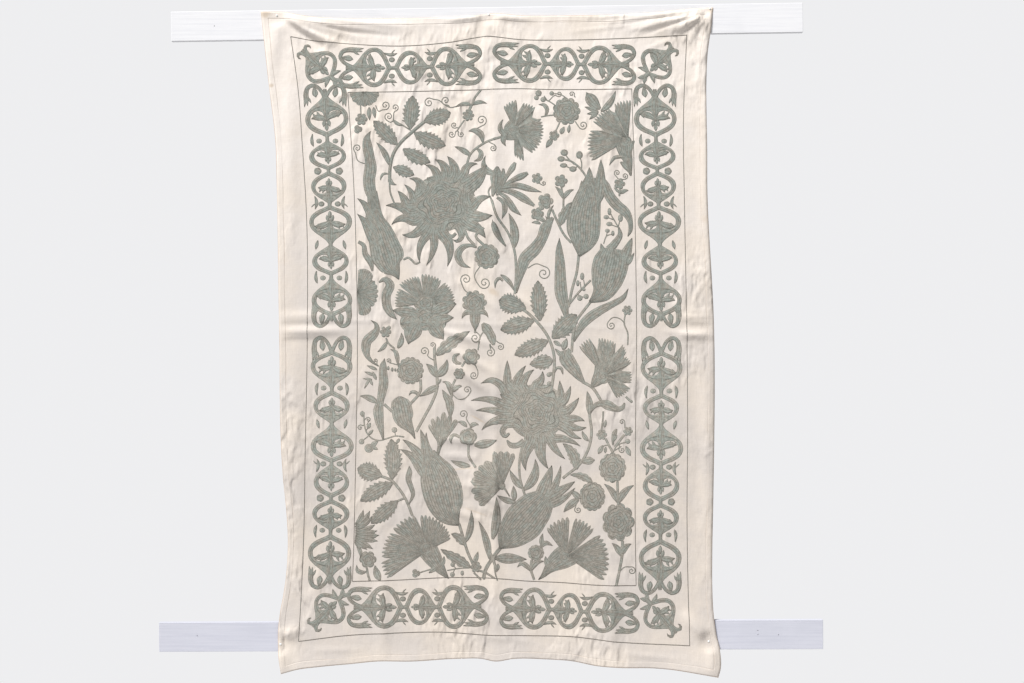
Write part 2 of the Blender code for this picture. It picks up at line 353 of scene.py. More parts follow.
# Keeps one worked patch: its places on the chart, its lift, a UV of mm along and row number across, and
# how far each place is from the patch's rim in mm. Lift and rim are spread over all its places
def keepPatch(points, lift, along, rowNumber, rim, centre=None):
    group = stitching["group"]
    if group.endswith("field"):
        group += "_upper" if points[..., 1].mean() < stitch["fieldHalf"] else "_lower"
    lift, rim = np.broadcast_to(lift, points.shape[:2]), np.broadcast_to(rim, points.shape[:2])
    stitching["groups"].setdefault(group, []).append((points, lift, along, rowNumber, rim, centre))


# Lift of a dome that runs from 0 to 1: -sink + (rise + sink + layer * step) * dome
def domeLift(dome, layer):
    height = stitch["rise"] + stitch["edgeSink"] + layer * stitch["layerStep"]
    return -stitch["edgeSink"] + height * dome


# Lift across a strip, t from -1 to 1: a flat-topped dome with its rim sunk into the cloth, plus the row
# ridges
def stripLift(t, layer, ridged=True):
    dome = (1 - np.abs(t) ** 5) ** 0.6
    ridges = np.zeros_like(t)
    if ridged:
        ridges[1::2] = stitch["ridge"]
        ridges[2:-1:2] = -stitch["ridge"]
    return domeLift(dome, layer) + ridges


# Blade: a strip along a smooth spine. Each station is x, y, full width; teeth cut its two edges as a
# saw that points to the tip, or below 0 as rounded lobes, and lean slides the edges forward
def blade(stations, teeth=0, bite=0.34, lean=0.0, layer=0):
    stations = np.array(stations, float)
    length = np.sqrt((np.diff(stations[:, :2], axis=0) ** 2).sum(1)).sum()
    count = int(max(6, math.ceil(length / stitch["alongStep"]), abs(teeth) * 6))
    if not stitching["fine"]:
        count = int(max(5, abs(teeth) * 4, count * 0.6))
    share = np.linspace(0, 1, count + 1)
    spine = splineAt(stations, share)
    tangent = np.gradient(spine[:, :2], axis=0)
    tangent /= np.linalg.norm(tangent, axis=1, keepdims=True) + 1e-9
    normal = np.stack([-tangent[:, 1], tangent[:, 0]], -1)
    half = np.maximum(spine[:, 2], 0.05) / 2
    rows = int(max(1, round(stations[:, 2].max() / stitch["rowWidth"])))
    cells = 2 * rows if stitching["fine"] else int(max(2, 2 * round(rows / 3)))
    t = np.linspace(-1, 1, cells + 1)
    if teeth > 0:
        cut = bite * (1 - (share * teeth) % 1) ** 0.8 * (share < 1)
    else:
        cut = 0.24 * (1 - np.abs(np.sin(math.pi * share * teeth))) if teeth else np.zeros_like(share)
    edge = 1 - cut[:, None] * np.abs(t)[None] ** 1.5
    sideways = t[None] * half[:, None] * edge
    forward = lean * np.abs(t)[None] * half[:, None]
    points = spine[:, None, :2] + normal[:, None] * sideways[..., None]
    points = points + tangent[:, None] * forward[..., None]
    along = (share * length * unitInMm)[:, None]
    rim = (1 - np.abs(t))[None] * half[:, None] * unitInMm
    keepPatch(points, stripLift(t, layer, stitching["fine"]), along, (t + 1) * rows / 2, rim)


# Leaf: a blade from base to tip, widest where belly says, bowed to the right by bend times its length
def leaf(x0, y0, x1, y1, width, bend=0.0, teeth=0, belly=0.42, layer=0, foot=0.25):
    dx, dy = x1 - x0, y1 - y0
    stations, full = [], teeth != 0
    for share, wide in ((0, foot), (belly * 0.42, 0.94 if full else 0.78), (belly, 1.18 if full else 1),
                        ((1 + belly) / 2, 0.86 if full else 0.68), (0.91, 0.36 if full else 0.26), (1, 0)):
        bow = 4 * bend * share * (1 - share)
        stations.append((x0 + dx * share - dy * bow, y0 + dy * share + dx * bow, width * wide))
    blade(stations, teeth=teeth, lean=0.35 if teeth > 0 else 0.0, layer=layer)


# Stem or line: a blade of one width through its points
def stem(points, width):
    blade([(x, y, width) for x, y in points])


# Tendril: a thin stem that winds into a spiral, its radius shrinking evenly with the angle. The stem's
# last point is moved onto the spiral's circle so that the two join smoothly
def tendril(points, centreX, centreY, radius, turns=1.6, width=1.3):
    lastX, lastY = points[-1]
    beforeX, beforeY = points[-2]
    pull = radius / max(math.hypot(lastX - centreX, lastY - centreY), 0.1)
    lastX, lastY = centreX + (lastX - centreX) * pull, centreY + (lastY - centreY) * pull
    turn = (lastX - beforeX) * (centreY - lastY) - (lastY - beforeY) * (centreX - lastX)
    sense = 1 if turn > 0 else -1
    start = math.atan2(lastY - centreY, lastX - centreX)
    angle = start + sense * np.linspace(0.25, 2 * math.pi * turns, int(9 * turns + 3))
    away = radius * np.linspace(1, 0.14, len(angle))
    wound = [(centreX + r * math.cos(a), centreY + r * math.sin(a)) for r, a in zip(away, angle)]
    stem(list(points[:-1]) + [(lastX, lastY)] + wound, width)


# Disc: rings round a centre, the rim scalloped into lobes: radius * (1 - depth * (1 - |cos|))
def disc(x, y, radius, lobes=0, depth=0.22, layer=0, squash=1.0, turn=0.0, outlined=True):
    rings = int(max(2, round(radius / stitch["rowWidth"])))
    sides = int(max(10, lobes * 6, round(radius * 3)))
    if not stitching["fine"]:
        rings, sides = int(max(1, rings // 2)), int(max(8, lobes * 4, sides // 2))
    angle = np.linspace(0, 2 * math.pi, sides, endpoint=False)
    rim = np.ones_like(angle)
    if lobes:
        rim = 1 - depth * (1 - np.abs(np.cos(lobes * (angle + turn) / 2)) ** 0.6)
    ringCount = rings * 2 if stitching["fine"] else rings
    part = np.linspace(0, 1, ringCount + 1)[1:]
    reach = radius * part[:, None] * (1 - (1 - rim[None]) * part[:, None] ** 1.5)
    cosTurn, sinTurn = math.cos(turn), math.sin(turn)
    localX, localY = reach * np.cos(angle), reach * np.sin(angle) * squash
    points = np.stack([x + localX * cosTurn - localY * sinTurn, y + localX * sinTurn + localY * cosTurn], -1)
    lift = stripLift(np.concatenate([-part[::-1], part]), layer, False)[ringCount:]
    if stitching["fine"]:
        lift = lift + stitch["ridge"] * np.where(np.arange(ringCount) % 2 == 0, 1, -1) * (part < 0.99)
    along = np.linspace(0, 1, sides + 1)[None] * 2 * math.pi * radius * unitInMm * 0.6
    swirl = np.linspace(0, 2 * math.pi, sides + 1)[None]
    wander = np.sin(5 * swirl + part[:, None] * 5 + x) + 0.7 * np.sin(3 * swirl - part[:, None] * 9 + y)
    rowNumber = part[:, None] * rings + wander * part[:, None] * rings * (0.07 if outlined else 0.10)
    topLift = stitch["rise"] + layer * stitch["layerStep"]
    rim = ((1 - part) * radius * unitInMm + (0 if outlined else 9))[:, None]
    keepPatch(points, lift[:, None], along, rowNumber, rim, centre=((x, y), topLift, radius * unitInMm))


# Fan: rows that spread from an apex through a run of petals (from angle, to angle, first radius, last
# radius, teeth, slit after it), in degrees with 90 up. Each column's reach is radius * part * (1 - cut *
# part^power), where the cut is a notch between rounded teeth or the slit between two petals
def fan(apexX, apexY, petals, bite=0.10, layer=0):
    angles, reaches, cuts = [], [], []
    for n, (low, high, first, last, teeth, slit) in enumerate(petals):
        width = math.radians(high - low) * (first + last) / 2
        cells = teeth * 3
        if stitching["fine"]:
            cells = int(max(teeth * 6, 2 * round(width / stitch["rowWidth"]), 6))
        share = np.linspace(0, 1, cells + 1)
        tooth = np.floor(share * teeth * 0.9999)
        uneven = 0.8 + 0.4 * np.abs(np.sin(tooth * 2.4 + first))
        notch = (1 - np.abs(np.sin(math.pi * share * teeth))) * uneven
        angles.append(low + (high - low) * share)
        reaches.append(first + (last - first) * share)
        cuts.append(bite * notch + 0.03 * np.abs(2 * share - 1) ** 6)
        if n + 1 < len(petals):
            angles.append([(high + petals[n + 1][0]) / 2])
            reaches.append([(last + petals[n + 1][2]) / 2])
            cuts.append([slit])
    angle, radius, cut = np.radians(np.concatenate(angles)), np.concatenate(reaches), np.concatenate(cuts)
    power = np.clip(1 / np.maximum(cut, 0.01) - 1, 0.1, 5)
    rings = int(max(4, round(radius.max() / (stitch["alongStep"] * (1.2 if stitching["fine"] else 2.4)))))
    part = np.linspace(0.03, 1, rings + 1)[:, None]
    reach = radius * part * (1 - cut * part**power)
    points = np.stack([apexX + reach * np.cos(angle), apexY - reach * np.sin(angle)], -1)
    wide = np.concatenate([[0], np.cumsum(np.abs(np.diff(angle)) * (radius[1:] + radius[:-1]) / 2)])
    fromSide = np.minimum(wide, wide[-1] - wide) * np.maximum(part, 0.5)
    rim = np.minimum(fromSide, (1 - part) * radius * (1 - 0.5 * cut))
    dome = np.clip(rim / 0.9, 0, 1) ** 0.5
    ridges = np.where(np.arange(len(angle)) % 2, 1, -1) * stitch["ridge"] * np.clip(rim / 1.5, 0, 1)
    along = part * radius.mean() * unitInMm
    keepPatch(points, domeLift(dome, layer) + ridges, along, np.arange(len(angle)) / 2, rim * unitInMm)


# Ruled band: rows that run between an outer and an inner line, both smooth curves of the same share
def band(outer, inner, rows, layer=0):
    length = np.sqrt((np.diff(np.array(outer, float), axis=0) ** 2).sum(1)).sum()
    count = int(max(10, length / 1.6)) if stitching["fine"] else int(max(8, length / 3))
    share = np.linspace(0, 1, count + 1)
    outerLine, innerLine = splineAt(outer, share), splineAt(inner, share)
    cells = 2 * rows if stitching["fine"] else max(2, rows)
    t = np.linspace(-1, 1, cells + 1)
    mix = ((t + 1) / 2)[None, :, None]
    points = outerLine[:, None] * (1 - mix) + innerLine[:, None] * mix
    along = (share * length * unitInMm)[:, None]
    half = np.linalg.norm(outerLine - innerLine, axis=1) / 2
    rim = (1 - np.abs(t))[None] * half[:, None] * unitInMm
    keepPatch(points, stripLift(t, layer, stitching["fine"]), along, (t + 1) * rows / 2, rim)


# Heart of the border, from its point to its solid apex. Columns: share of the way to the apex, share
# of the half width
heartLines = {
    "large": {
        "outer": [(-0.02, 0), (0.05, 0.26), (0.13, 0.62), (0.25, 0.90), (0.38, 1.0), (0.54, 0.95),
                  (0.67, 0.74), (0.79, 0.44), (0.90, 0.20), (1.0, 0.07)],
        "inner": [(0.12, 0), (0.17, 0.24), (0.25, 0.54), (0.36, 0.75), (0.48, 0.74), (0.57, 0.60),
                  (0.60, 0.40), (0.57, 0.20), (0.50, 0.07), (0.43, 0)],
        "wing": (0.40, 0.0, 0.47, 0.72, 6.8), "drops": [(0.31, 0.13, 2.2), (0.19, 0.0, 2.3)],
        "spine": [(1.10, 3.6), (0.97, 4.2), (0.84, 7.0), (0.70, 10.0), (0.58, 8.0), (0.48, 4.2), (0.36, 2.0)],
    },
    "small": {
        "outer": [(-0.02, 0), (0.07, 0.32), (0.19, 0.74), (0.36, 0.98), (0.50, 1.0), (0.66, 0.88),
                  (0.80, 0.60), (0.91, 0.31), (1.0, 0.09)],
        "inner": [(0.15, 0), (0.22, 0.30), (0.34, 0.62), (0.48, 0.74), (0.61, 0.67), (0.68, 0.46),
                  (0.66, 0.22), (0.57, 0.06), (0.49, 0)],
        "wing": (0.46, 0.0, 0.55, 0.66, 6.2), "drops": [(0.36, 0.12, 1.7), (0.26, 0.0, 1.8)],
        "spine": [(1.14, 3.6), (0.97, 4.4), (0.84, 8.0), (0.72, 9.0), (0.60, 6.0), (0.50, 3.6), (0.40, 1.8)],
    },
}


# Places the heart's lines: point + share * (apex - point) + side * half width * share across
def heart(pointX, pointY, apexX, apexY, halfWidth, size):
    lines = heartLines[size]
    alongX, alongY = apexX - pointX, apexY - pointY
    length = math.hypot(alongX, alongY)
    acrossX, acrossY = -alongY / length * halfWidth, alongX / length * halfWidth

    def spot(a, b):
        return (pointX + alongX * a + acrossX * b, pointY + alongY * a + acrossY * b)

    for side in (-1, 1):
        uneven = 1 + 0.035 * math.sin(pointX * 1.7 + pointY * 2.3 + side)
        outer = [spot(a, side * b * uneven) for a, b in lines["outer"]]
        inner = [spot(a, side * b * uneven * (1.02 if side > 0 else 0.98)) for a, b in lines["inner"]]
        band(outer, inner, 4)
        a0, b0, a1, b1, wide = lines["wing"]
        droop = 0.06 * math.sin(pointX * 2.1 + pointY * 1.3 + side * 2)
        tipA, tipB = a1 + droop, side * b1 * (1 + droop)
        leaf(*spot(a0, side * b0), *spot(tipA, tipB), wide, bend=-0.12 * side, belly=0.55, layer=0.5,
             foot=0.45)
        leaf(*spot(a0 + 0.08, tipB * 0.42), *spot(a0 + 0.20, tipB * 0.62), wide * 0.42, layer=0.4)
        leaf(*spot(a0 + 0.05, tipB * 0.68), *spot(a0 + 0.17, tipB * 0.90), wide * 0.36, layer=0.4)
    blade([(*spot(a, 0), wide) for a, wide in lines["spine"]], layer=0.5)
    for side in (-1, 1):
        a, b, radius = lines["drops"][0]
        leaf(*spot(a + 0.10, side * b * 0.5), *spot(a - 0.07, side * b * 1.15), radius * 1.9, belly=0.6,
             layer=0.3)
    a, b, radius = lines["drops"][1]
    leaf(*spot(a + 0.13, 0), *spot(a - 0.05, 0), radius * 1.8, belly=0.65, layer=0.3)
    blade([(*spot(-0.10, 0), 2.6), (*spot(0.0, 0), 4.0), (*spot(0.10, 0), 3.0)], layer=0.4)


# Pair of scrolls at the end of a chain: u runs on out of the chain and w sideways, both in chart units
scrollLine = [(-3, 0.4, 3.8), (2.5, 2.8, 3.8), (7.5, 6.6, 3.9), (10.2, 12.0, 4.2), (8.2, 17.0, 4.6),
              (2.0, 19.2, 5.4), (-5.0, 18.6, 6.2)]
scrollProngs = [(-2.0, 19.4, -11.5, 20.8, 3.2), (-2.0, 18.2, -10.4, 17.6, 3.0), (-2.0, 17.0, -7.6, 14.0, 2.6)]


# Places both scrolls: root + out * u + sideways * w, with w on either side of the chain
def scrolls(rootX, rootY, outX, outY, reach=1.0, spread=1.0):
    for side in (-1, 1):
        def spot(u, w):
            u, w = u * reach, w * side * spread
            return (rootX + outX * u - outY * w, rootY + outY * u + outX * w)

        blade([(*spot(u, w), wide) for u, w, wide in scrollLine])
        for u0, w0, u1, w1, wide in scrollProngs:
            leaf(*spot(u0, w0), *spot(u1, w1), wide, layer=0.3)
        leaf(*spot(7.2, 11.0), *spot(-1.8, 9.4), 6.4, belly=0.6, foot=0.5)
        leaf(*spot(5.6, 11.6), *spot(9.2, 11.0), 2.2)


# Ornaments beside the chain where two hearts meet
def crossing(x, y, outX, outY, kind, wide=8.2):
    for side in (-1, 1):
        def spot(u, w):
            return (x + outX * u - outY * w * side, y + outY * u + outX * w * side)

        if kind == "drops":
            leaf(*spot(-5.5, wide + 6.5), *spot(7.0, wide + 5.5), 3.6, bend=0.1 * side, belly=0.7)
            disc(*spot(1.5, wide), 3.1, squash=0.85)
        elif kind == "buds":
            disc(*spot(0.5, wide + 2.6), 4.0, lobes=5, depth=0.12)
        elif kind == "sprigs":
            disc(*spot(-0.8, wide), 3.3, squash=0.85)
            leaf(*spot(-8.5, wide + 6.8), *spot(4.5, wide + 6.6), 3.8, bend=-0.14 * side, belly=0.6)
            leaf(*spot(-1.0, wide + 6.6), *spot(2.4, wide + 10.2), 1.8)
        else:
            leaf(*spot(-4.0, wide + 4.5), *spot(5.0, wide + 6.8), 3.8, belly=0.6)


# Corner motif: a heart on the diagonal with two curled tips past its apex and three tail leaves
def corner(pointX, pointY, apexX, apexY):
    alongX, alongY = apexX - pointX, apexY - pointY
    length = math.hypot(alongX, alongY)
    ux, uy = alongX / length, alongY / length

    def spot(u, w):
        return (pointX + ux * u - uy * w, pointY + uy * u + ux * w)

    heart(pointX, pointY, apexX, apexY, 18.0, "large")
    for side in (-1, 1):
        blade([(*spot(length - 5, 0.8 * side), 4.6), (*spot(length + 1.5, 2.4 * side), 4.0),
               (*spot(length + 3.6, 5.6 * side), 3.6), (*spot(length + 0.8, 8.0 * side), 2.2),
               (*spot(length - 1.6, 7.2 * side), 0.4)])
        leaf(*spot(2.0, 0.6 * side), *spot(-1.0, 11.5 * side), 4.4, bend=-0.12 * side, belly=0.55)
        leaf(*spot(-1.0, 1.0 * side), *spot(-8.5, 4.6 * side), 4.6, bend=0.12 * side, belly=0.5)
    leaf(*spot(3.0, 0), *spot(-5.5, 0), 5.0, belly=0.5)


# Chains of the four sides. Columns of each heart: place of the point, place of the apex, half width, size
columnHearts = [
    (137.5, 94.0, 21.8, "large"), (170.4, 141.3, 18.3, "small"), (171.6, 204.0, 18.0, "small"),
    (205.5, 245.5, 21.5, "large"), (275.6, 245.0, 18.5, "small"), (317.0, 277.2, 20.6, "large"),
]
columnCrossings = [(140.0, "drops"), (171.0, "buds"), (205.0, "sprigs"), (244.5, "leaves"), (276.6, "drops")]
columnFold = 663        # the lower half of a column mirrors the upper: y becomes this less y
# The lower half is then drawn out a little, more on the right: mirrored places, and where they lie
columnDrawn = {
    "mirrored": [330, 346, 387, 418, 458, 492, 524, 569, 585],
    "left": [336, 350.5, 390, 423.5, 462.8, 498.3, 532.5, 579, 595],
    "right": [336, 351, 393, 424.5, 466, 502, 537, 584.5, 600.5],
}
columnLines = {
    "left": [(325, 84), (326.5, 117), (328.5, 156), (330.5, 222), (332, 300), (332.3, 367), (332, 448),
             (331.3, 500), (330.5, 550), (330, 592)],
    "right": [(654.5, 84), (654.7, 117), (656.5, 160), (659, 222), (661, 300), (661, 367), (660.7, 450),
              (660.2, 500), (660, 550), (659.5, 592)],
}
# Columns: point x, point y, apex x, apex y, half width, size
rowHearts = [
    (391.6, 68.6, 350.2, 68.6, 19.8, "large"), (394.3, 68.6, 428.4, 67.4, 17.3, "small"),
    (429.8, 67.4, 470.2, 65.0, 20.0, "large"), (547.6, 64.4, 504.6, 63.4, 20.0, "large"),
    (580.2, 65.0, 549.0, 64.4, 17.4, "small"), (581.2, 65.0, 624.6, 65.4, 19.6, "large"),
    (403.4, 606.4, 358.4, 607.0, 21.3, "large"), (404.6, 606.4, 436.2, 606.2, 18.5, "small"),
    (437.0, 606.2, 477.2, 605.2, 21.8, "large"), (551.4, 608.8, 509.6, 608.0, 21.0, "large"),
    (583.2, 611.0, 552.4, 608.8, 18.2, "small"), (584.4, 611.0, 628.4, 612.4, 21.0, "large"),
]
# Columns: root x, root y, out x, out y, reach
rowScrolls = [
    (351.6, 68.6, -1, 0, 1.08), (468.6, 65.2, 1, 0, 1.15), (506.0, 63.4, -1, 0, 1.15),
    (623.4, 65.4, 1, 0, 1.05), (360.0, 607.0, -1, 0, 1.1), (475.8, 605.2, 1, 0, 1.1),
    (511.4, 608.0, -1, 0, 1.0), (626.6, 612.4, 1, 0, 1.08),
]
# Columns: x, y, out x, kind
rowCrossings = [
    (392.9, 68.6, 1, "sprigs"), (429.2, 67.4, -1, "sprigs"), (548.3, 64.4, 1, "sprigs"),
    (580.7, 65.0, -1, "sprigs"), (404.0, 606.4, 1, "sprigs"), (436.6, 606.2, -1, "sprigs"),
    (551.9, 608.8, 1, "sprigs"), (583.8, 611.0, -1, "sprigs"),
]
# Columns: point x, point y, apex x, apex y
corners = [
    (333.0, 79.0, 305.0, 53.0), (646.6, 75.2, 670.6, 50.2), (340.6, 597.0, 315.4, 623.4),
    (648.6, 601.4, 673.4, 629.4),
]


# X of a column's centre line at a height on the chart, straight between the line's points
def columnX(side, y):
    line = columnLines[side]
    return float(np.interp(y, [p[1] for p in line], [p[0] for p in line]))


# The border: hearts, crossings and scrolls of the four sides, then the corners
def border():
    for side in ("left", "right"):
        for mirrored in (False, True):
            def at(y):
                lower = np.interp(columnFold - y, columnDrawn["mirrored"], columnDrawn[side])
                placed = float(lower) if mirrored else y
                return (columnX(side, placed), placed)

            down = -1 if mirrored else 1
            for pointY, apexY, halfWidth, size in columnHearts:
                heart(*at(pointY), *at(apexY), halfWidth, size)
            for y, kind in columnCrossings:
                crossing(*at(y), 0, down, kind)
            scrolls(*at(96.0), 0, -down)
            scrolls(*at(319.0 if mirrored else 315.0), 0, down, reach=1.1, spread=0.92)
    for row in rowHearts:
        heart(*row)
    for rootX, rootY, outX, outY, reach in rowScrolls:
        scrolls(rootX, rootY, outX, outY, reach, 0.95)
    for x, y, outX, kind in rowCrossings:
        crossing(x, y, outX, 0, kind)
    for row in corners:
        corner(*row)


# Thin lines that frame the border, as chart points
frameLines = {
    "outer": [
        [(291, 37), (310, 40.5), (345, 44), (405, 46.5), (448, 43), (488.5, 37), (520, 40), (561, 40.6),
         (607, 39.5), (686.5, 35.5)],
        [(686.5, 35.5), (683.2, 120), (684.3, 210), (686.7, 339), (687.3, 430), (686.7, 520), (687.6, 580),
         (689.5, 645.3)],
        [(298.8, 641), (352, 634.6), (382.5, 633), (444, 631.5), (490, 634.6), (530, 635), (571, 636),
         (613, 641), (689.5, 645.3)],
        [(291, 37), (298.5, 90), (303, 150), (306.6, 210), (307.6, 339), (305.4, 460), (304.5, 520),
         (301.5, 595), (298.8, 641)],
    ],
    "inner": [
        [(348.2, 93), (388, 92.6), (474, 90.4), (520, 89.2), (546, 90), (631.5, 89.4)],
        [(631.5, 89.4), (633.3, 150), (635.1, 240), (636.3, 330), (635.1, 430), (634.8, 520), (635.8, 585)],
        [(352.7, 581), (398, 579.5), (444, 577), (500, 578), (521, 580), (563, 582), (596, 584.5),
         (635.8, 585)],
        [(348.2, 93), (353.9, 180), (356.9, 270), (357.8, 340), (356, 460), (353.9, 550), (352.7, 581)],
    ],
    "width": 0.85,
}


# The frame lines: one thin stem for each side of the border, outside and inside it
def borderLines():
    for side in ("outer", "inner"):
        for points in frameLines[side]:
            stem(points, frameLines["width"])


# Leaves of the field. Columns: base x, base y, tip x, tip y, width, then for some: bend, teeth (below 0 for
# rounded lobes), and where the belly sits
fieldLeaves = {
    "topLeft": [
        (410.2, 129.8, 413, 96.2, 17.5, 0, 8), (424.2, 122, 450.8, 113, 18, 0, 8),
        (414.4, 133.3, 445.9, 146, 17, 0.04, 8), (397.6, 145.2, 373.8, 121.4, 16, 0, 8),
        (403.2, 149.4, 430.5, 162.7, 15, 0.04, 7), (393.4, 167.6, 414.4, 175.3, 12.5, 0, 6),
        (389.5, 165.5, 376.5, 143, 6.4, 0.08), (369.5, 108, 370, 121, 5), (374, 108, 375.5, 119, 4.6),
        (409, 128, 402, 121, 3.2, 0.2), (393.7, 120.7, 403.2, 126.3, 4, 0.1),
        (380.8, 180.5, 391, 176, 3, -0.4), (390, 176.7, 396.9, 185.1, 5, 0.25),
    ],
    "topMiddle": [
        (472, 105.5, 455.5, 107.5, 4.6, 0.12), (472.5, 105.5, 487, 104, 4.6, -0.15),
        (470.8, 156, 454.6, 147, 6, 0.05), (560.5, 134.5, 564, 127.3, 5.5),
        (568.3, 133.4, 569.3, 125, 4), (552, 139.5, 545.8, 148.4, 6),
    ],
    "topRight": [
        (599.8, 109.5, 585.9, 92.8, 12, -0.04, 0, 0.62), (600.6, 112, 615.3, 91.2, 7, 0.1),
        (598, 112, 584.3, 107.5, 5), (598, 113.5, 586.5, 114.5, 4.5), (598, 112.5, 589, 120, 4.6),
        (620, 162.6, 630, 175, 6, -0.1), (563, 199, 554.8, 187, 5, 0.1),
        (564, 199, 573.6, 190, 5, -0.15), (619, 193, 613.6, 188, 3.2),
        (620, 194, 628, 190.5, 4.6, -0.1),
    ],
    "burst": [
        (497, 174, 485.5, 156, 7.5, -0.35),
    ],
    "middle": [
        (514.5, 247.5, 508.6, 213.5, 9.2, 0.08), (505.8, 246.4, 492.2, 220, 6.4, -0.06, 0, 0.72),
        (500.5, 275, 514.5, 292, 5, -0.1), (560, 225.6, 571.4, 202.6, 9, -0.06, -4),
        (548, 219.5, 553.5, 205.5, 4, -0.1), (545, 221.5, 536, 216.5, 5),
        (540.5, 224, 531.6, 223, 4, 0.1), (541.5, 229, 545, 216, 4.4, 0.3), (549, 217.5, 547.5, 228, 6),
        (539.6, 321, 537.8, 280.6, 17.5, 0, 9), (526, 308.6, 498.8, 300.4, 20.5, 0, 9, 0.5),
    ],
    "leftBand": [
        (398, 348, 401.6, 332.6, 6.4, 0.12), (387.4, 341.5, 377.8, 351.7, 4.6, -0.1),
        (377.4, 369.4, 367.3, 365.5, 4), (374.5, 375, 364.8, 371.6, 3.6), (376.6, 379.4, 373, 371.6, 4),
        (372.4, 379.4, 363.4, 378.4, 3), (373, 385, 369.6, 378, 3.2), (370, 379, 364.7, 388.2, 3.2),
        (377.8, 402.6, 360.4, 395.8, 7, 0.08), (435.4, 376.3, 426.2, 363.8, 7.4, 0.1),
        (436.6, 376, 447.3, 359.2, 9, 0.14), (438.9, 385.4, 419.8, 396.2, 7.2),
        (436.6, 355, 469.9, 331.2, 11.5, -0.03, -5), (437, 384, 441.5, 379, 4),
        (362.8, 416.4, 362.6, 410.6, 5, 0, 0, 0.6), (453, 391.5, 462.2, 385.8, 5, -0.15, -3),
    ],
    "rightBand": [
        (533.9, 320.5, 500.4, 330, 18.5, 0, 9), (548, 340.6, 514.4, 355, 17.5, 0, 9),
        (552.5, 360.3, 529.5, 364.2, 14, 0, -6), (551.9, 338.4, 576.5, 314.6, 20.5, 0, 9),
        (553.5, 341.2, 561.6, 346.2, 4.8), (562.8, 349.8, 566.6, 338.2, 7),
        (562.5, 357, 554.6, 348.4, 4.6), (569, 356, 568, 347.8, 5.4),
        (589, 414, 586.6, 390.8, 7.6, 0.05), (604, 427, 605.6, 419.4, 4), (552.6, 374, 548, 373, 4),
    ],
    "lowerLeft": [
        (392, 479, 391.5, 438.4, 18.5, 0.04, 9), (382.5, 475.4, 357.8, 468, 19.5, 0, 8),
        (393, 482.6, 360.6, 500.8, 17, 0.02, 8), (398, 500.4, 371.4, 523, 16.5, 0, 8),
        (366.9, 424.5, 370, 419.5, 0.6), (368, 428, 371, 422.6, 4.6), (369, 434.5, 373.6, 429.4, 3.6),
        (399.7, 438.2, 396.7, 443.6, 3.6), (371, 446.4, 378.6, 440.2, 5.4), (371, 446, 378.4, 449, 4.4),
        (466.9, 426.6, 457.6, 421.6, 5, 0.15), (470.4, 427.4, 479, 424.6, 5, -0.25),
        (474.5, 444.5, 496.8, 439.4, 9.6, 0.06), (470.6, 465.6, 450.9, 459.8, 7, -0.05),
        (465.4, 541.6, 471.3, 509.4, 7, 0.08), (465, 544.6, 451.2, 533.2, 8.6, 0.12, -3),
        (470.4, 566.6, 440.8, 548.6, 10, 0, -5), (474.6, 563, 478.2, 550.8, 5.2),
        (489.6, 558.4, 478.6, 520.2, 7.6, 0.05), (492.6, 538.4, 496.4, 496.2, 9.6, 0.05),
        (495.3, 557.4, 526.6, 558.6, 11, 0, 0, 0.42), (357.2, 546, 360.6, 557.6, 4.6, -0.15),
        (380.6, 579.6, 375.2, 564.6, 8, -0.06), (440.4, 566, 444.2, 555.2, 5, 0.1),
        (437, 566, 429, 572.4, 5.4),
    ],
    "feathered": [
        (355.4, 524, 363.6, 509.2, 5, 0.1, 0, 0.6), (355.4, 526.5, 370.2, 510.2, 5.6, 0.1, 0, 0.65),
        (355.6, 528.6, 372.8, 515, 4.6, 0.1, 0, 0.65), (355.6, 530.4, 375.5, 524, 4.8, 0.08, 0, 0.65),
        (355.6, 532.4, 377.6, 530, 5, 0.06, 0, 0.7), (355.6, 534.6, 379.6, 534.6, 6, 0.04, 0, 0.7),
        (355.4, 536.4, 378.2, 540.4, 5.6, 0.02, 0, 0.65), (355.2, 538.2, 373.4, 548.4, 5.4, 0, 0, 0.6),
        (355, 540, 367.6, 549.2, 5, 0, 0, 0.6), (355, 541.6, 361.6, 549, 3.6),
    ],
    "lowerMiddle": [
        (523.4, 488, 509.8, 469.2, 7, -0.08), (523.6, 489.4, 535, 458.4, 10, 0.16),
        (516, 502, 497.2, 494.6, 6.6, -0.06), (514.6, 500, 513.4, 485.2, 6.4),
        (576.2, 469, 562.4, 443, 10.6, 0.14, -6), (588.4, 440.4, 581.8, 430.2, 4.8, -0.1),
        (581, 461.4, 594.6, 459.4, 8, 0, 0, 0.65), (592, 482, 570, 474.4, 7, 0.1, -4),
    ],
    "lowerRight": [
        (617, 502, 603.6, 483.4, 7, 0.1), (618.6, 502.4, 633.4, 484.8, 7.6, -0.12),
        (580, 498, 570.8, 490, 6.8), (578.6, 498.6, 563.4, 511.6, 8.2, 0.05),
        (602.6, 445, 597.8, 453.4, 5.2, 0, 0, 0.6), (625.4, 446, 630.2, 455.6, 5.2, 0, 0, 0.6),
        (605.4, 446.6, 604.6, 452.6, 3.6, 0, 0, 0.6), (613.4, 441, 616.6, 434.6, 3, 0, 0, 0.6),
        (542, 545.6, 542.8, 532.8, 5, -0.08), (531.4, 570, 543.8, 560.8, 6.6, -0.22),
        (620.4, 555, 611.6, 542.6, 6.6, 0.1), (620, 555.4, 631, 543.2, 8, -0.14),
        (594.4, 562.6, 596.8, 565.8, 0.6), (497, 570, 498, 562.8, 5, 0, 0, 0.6),
    ],
}
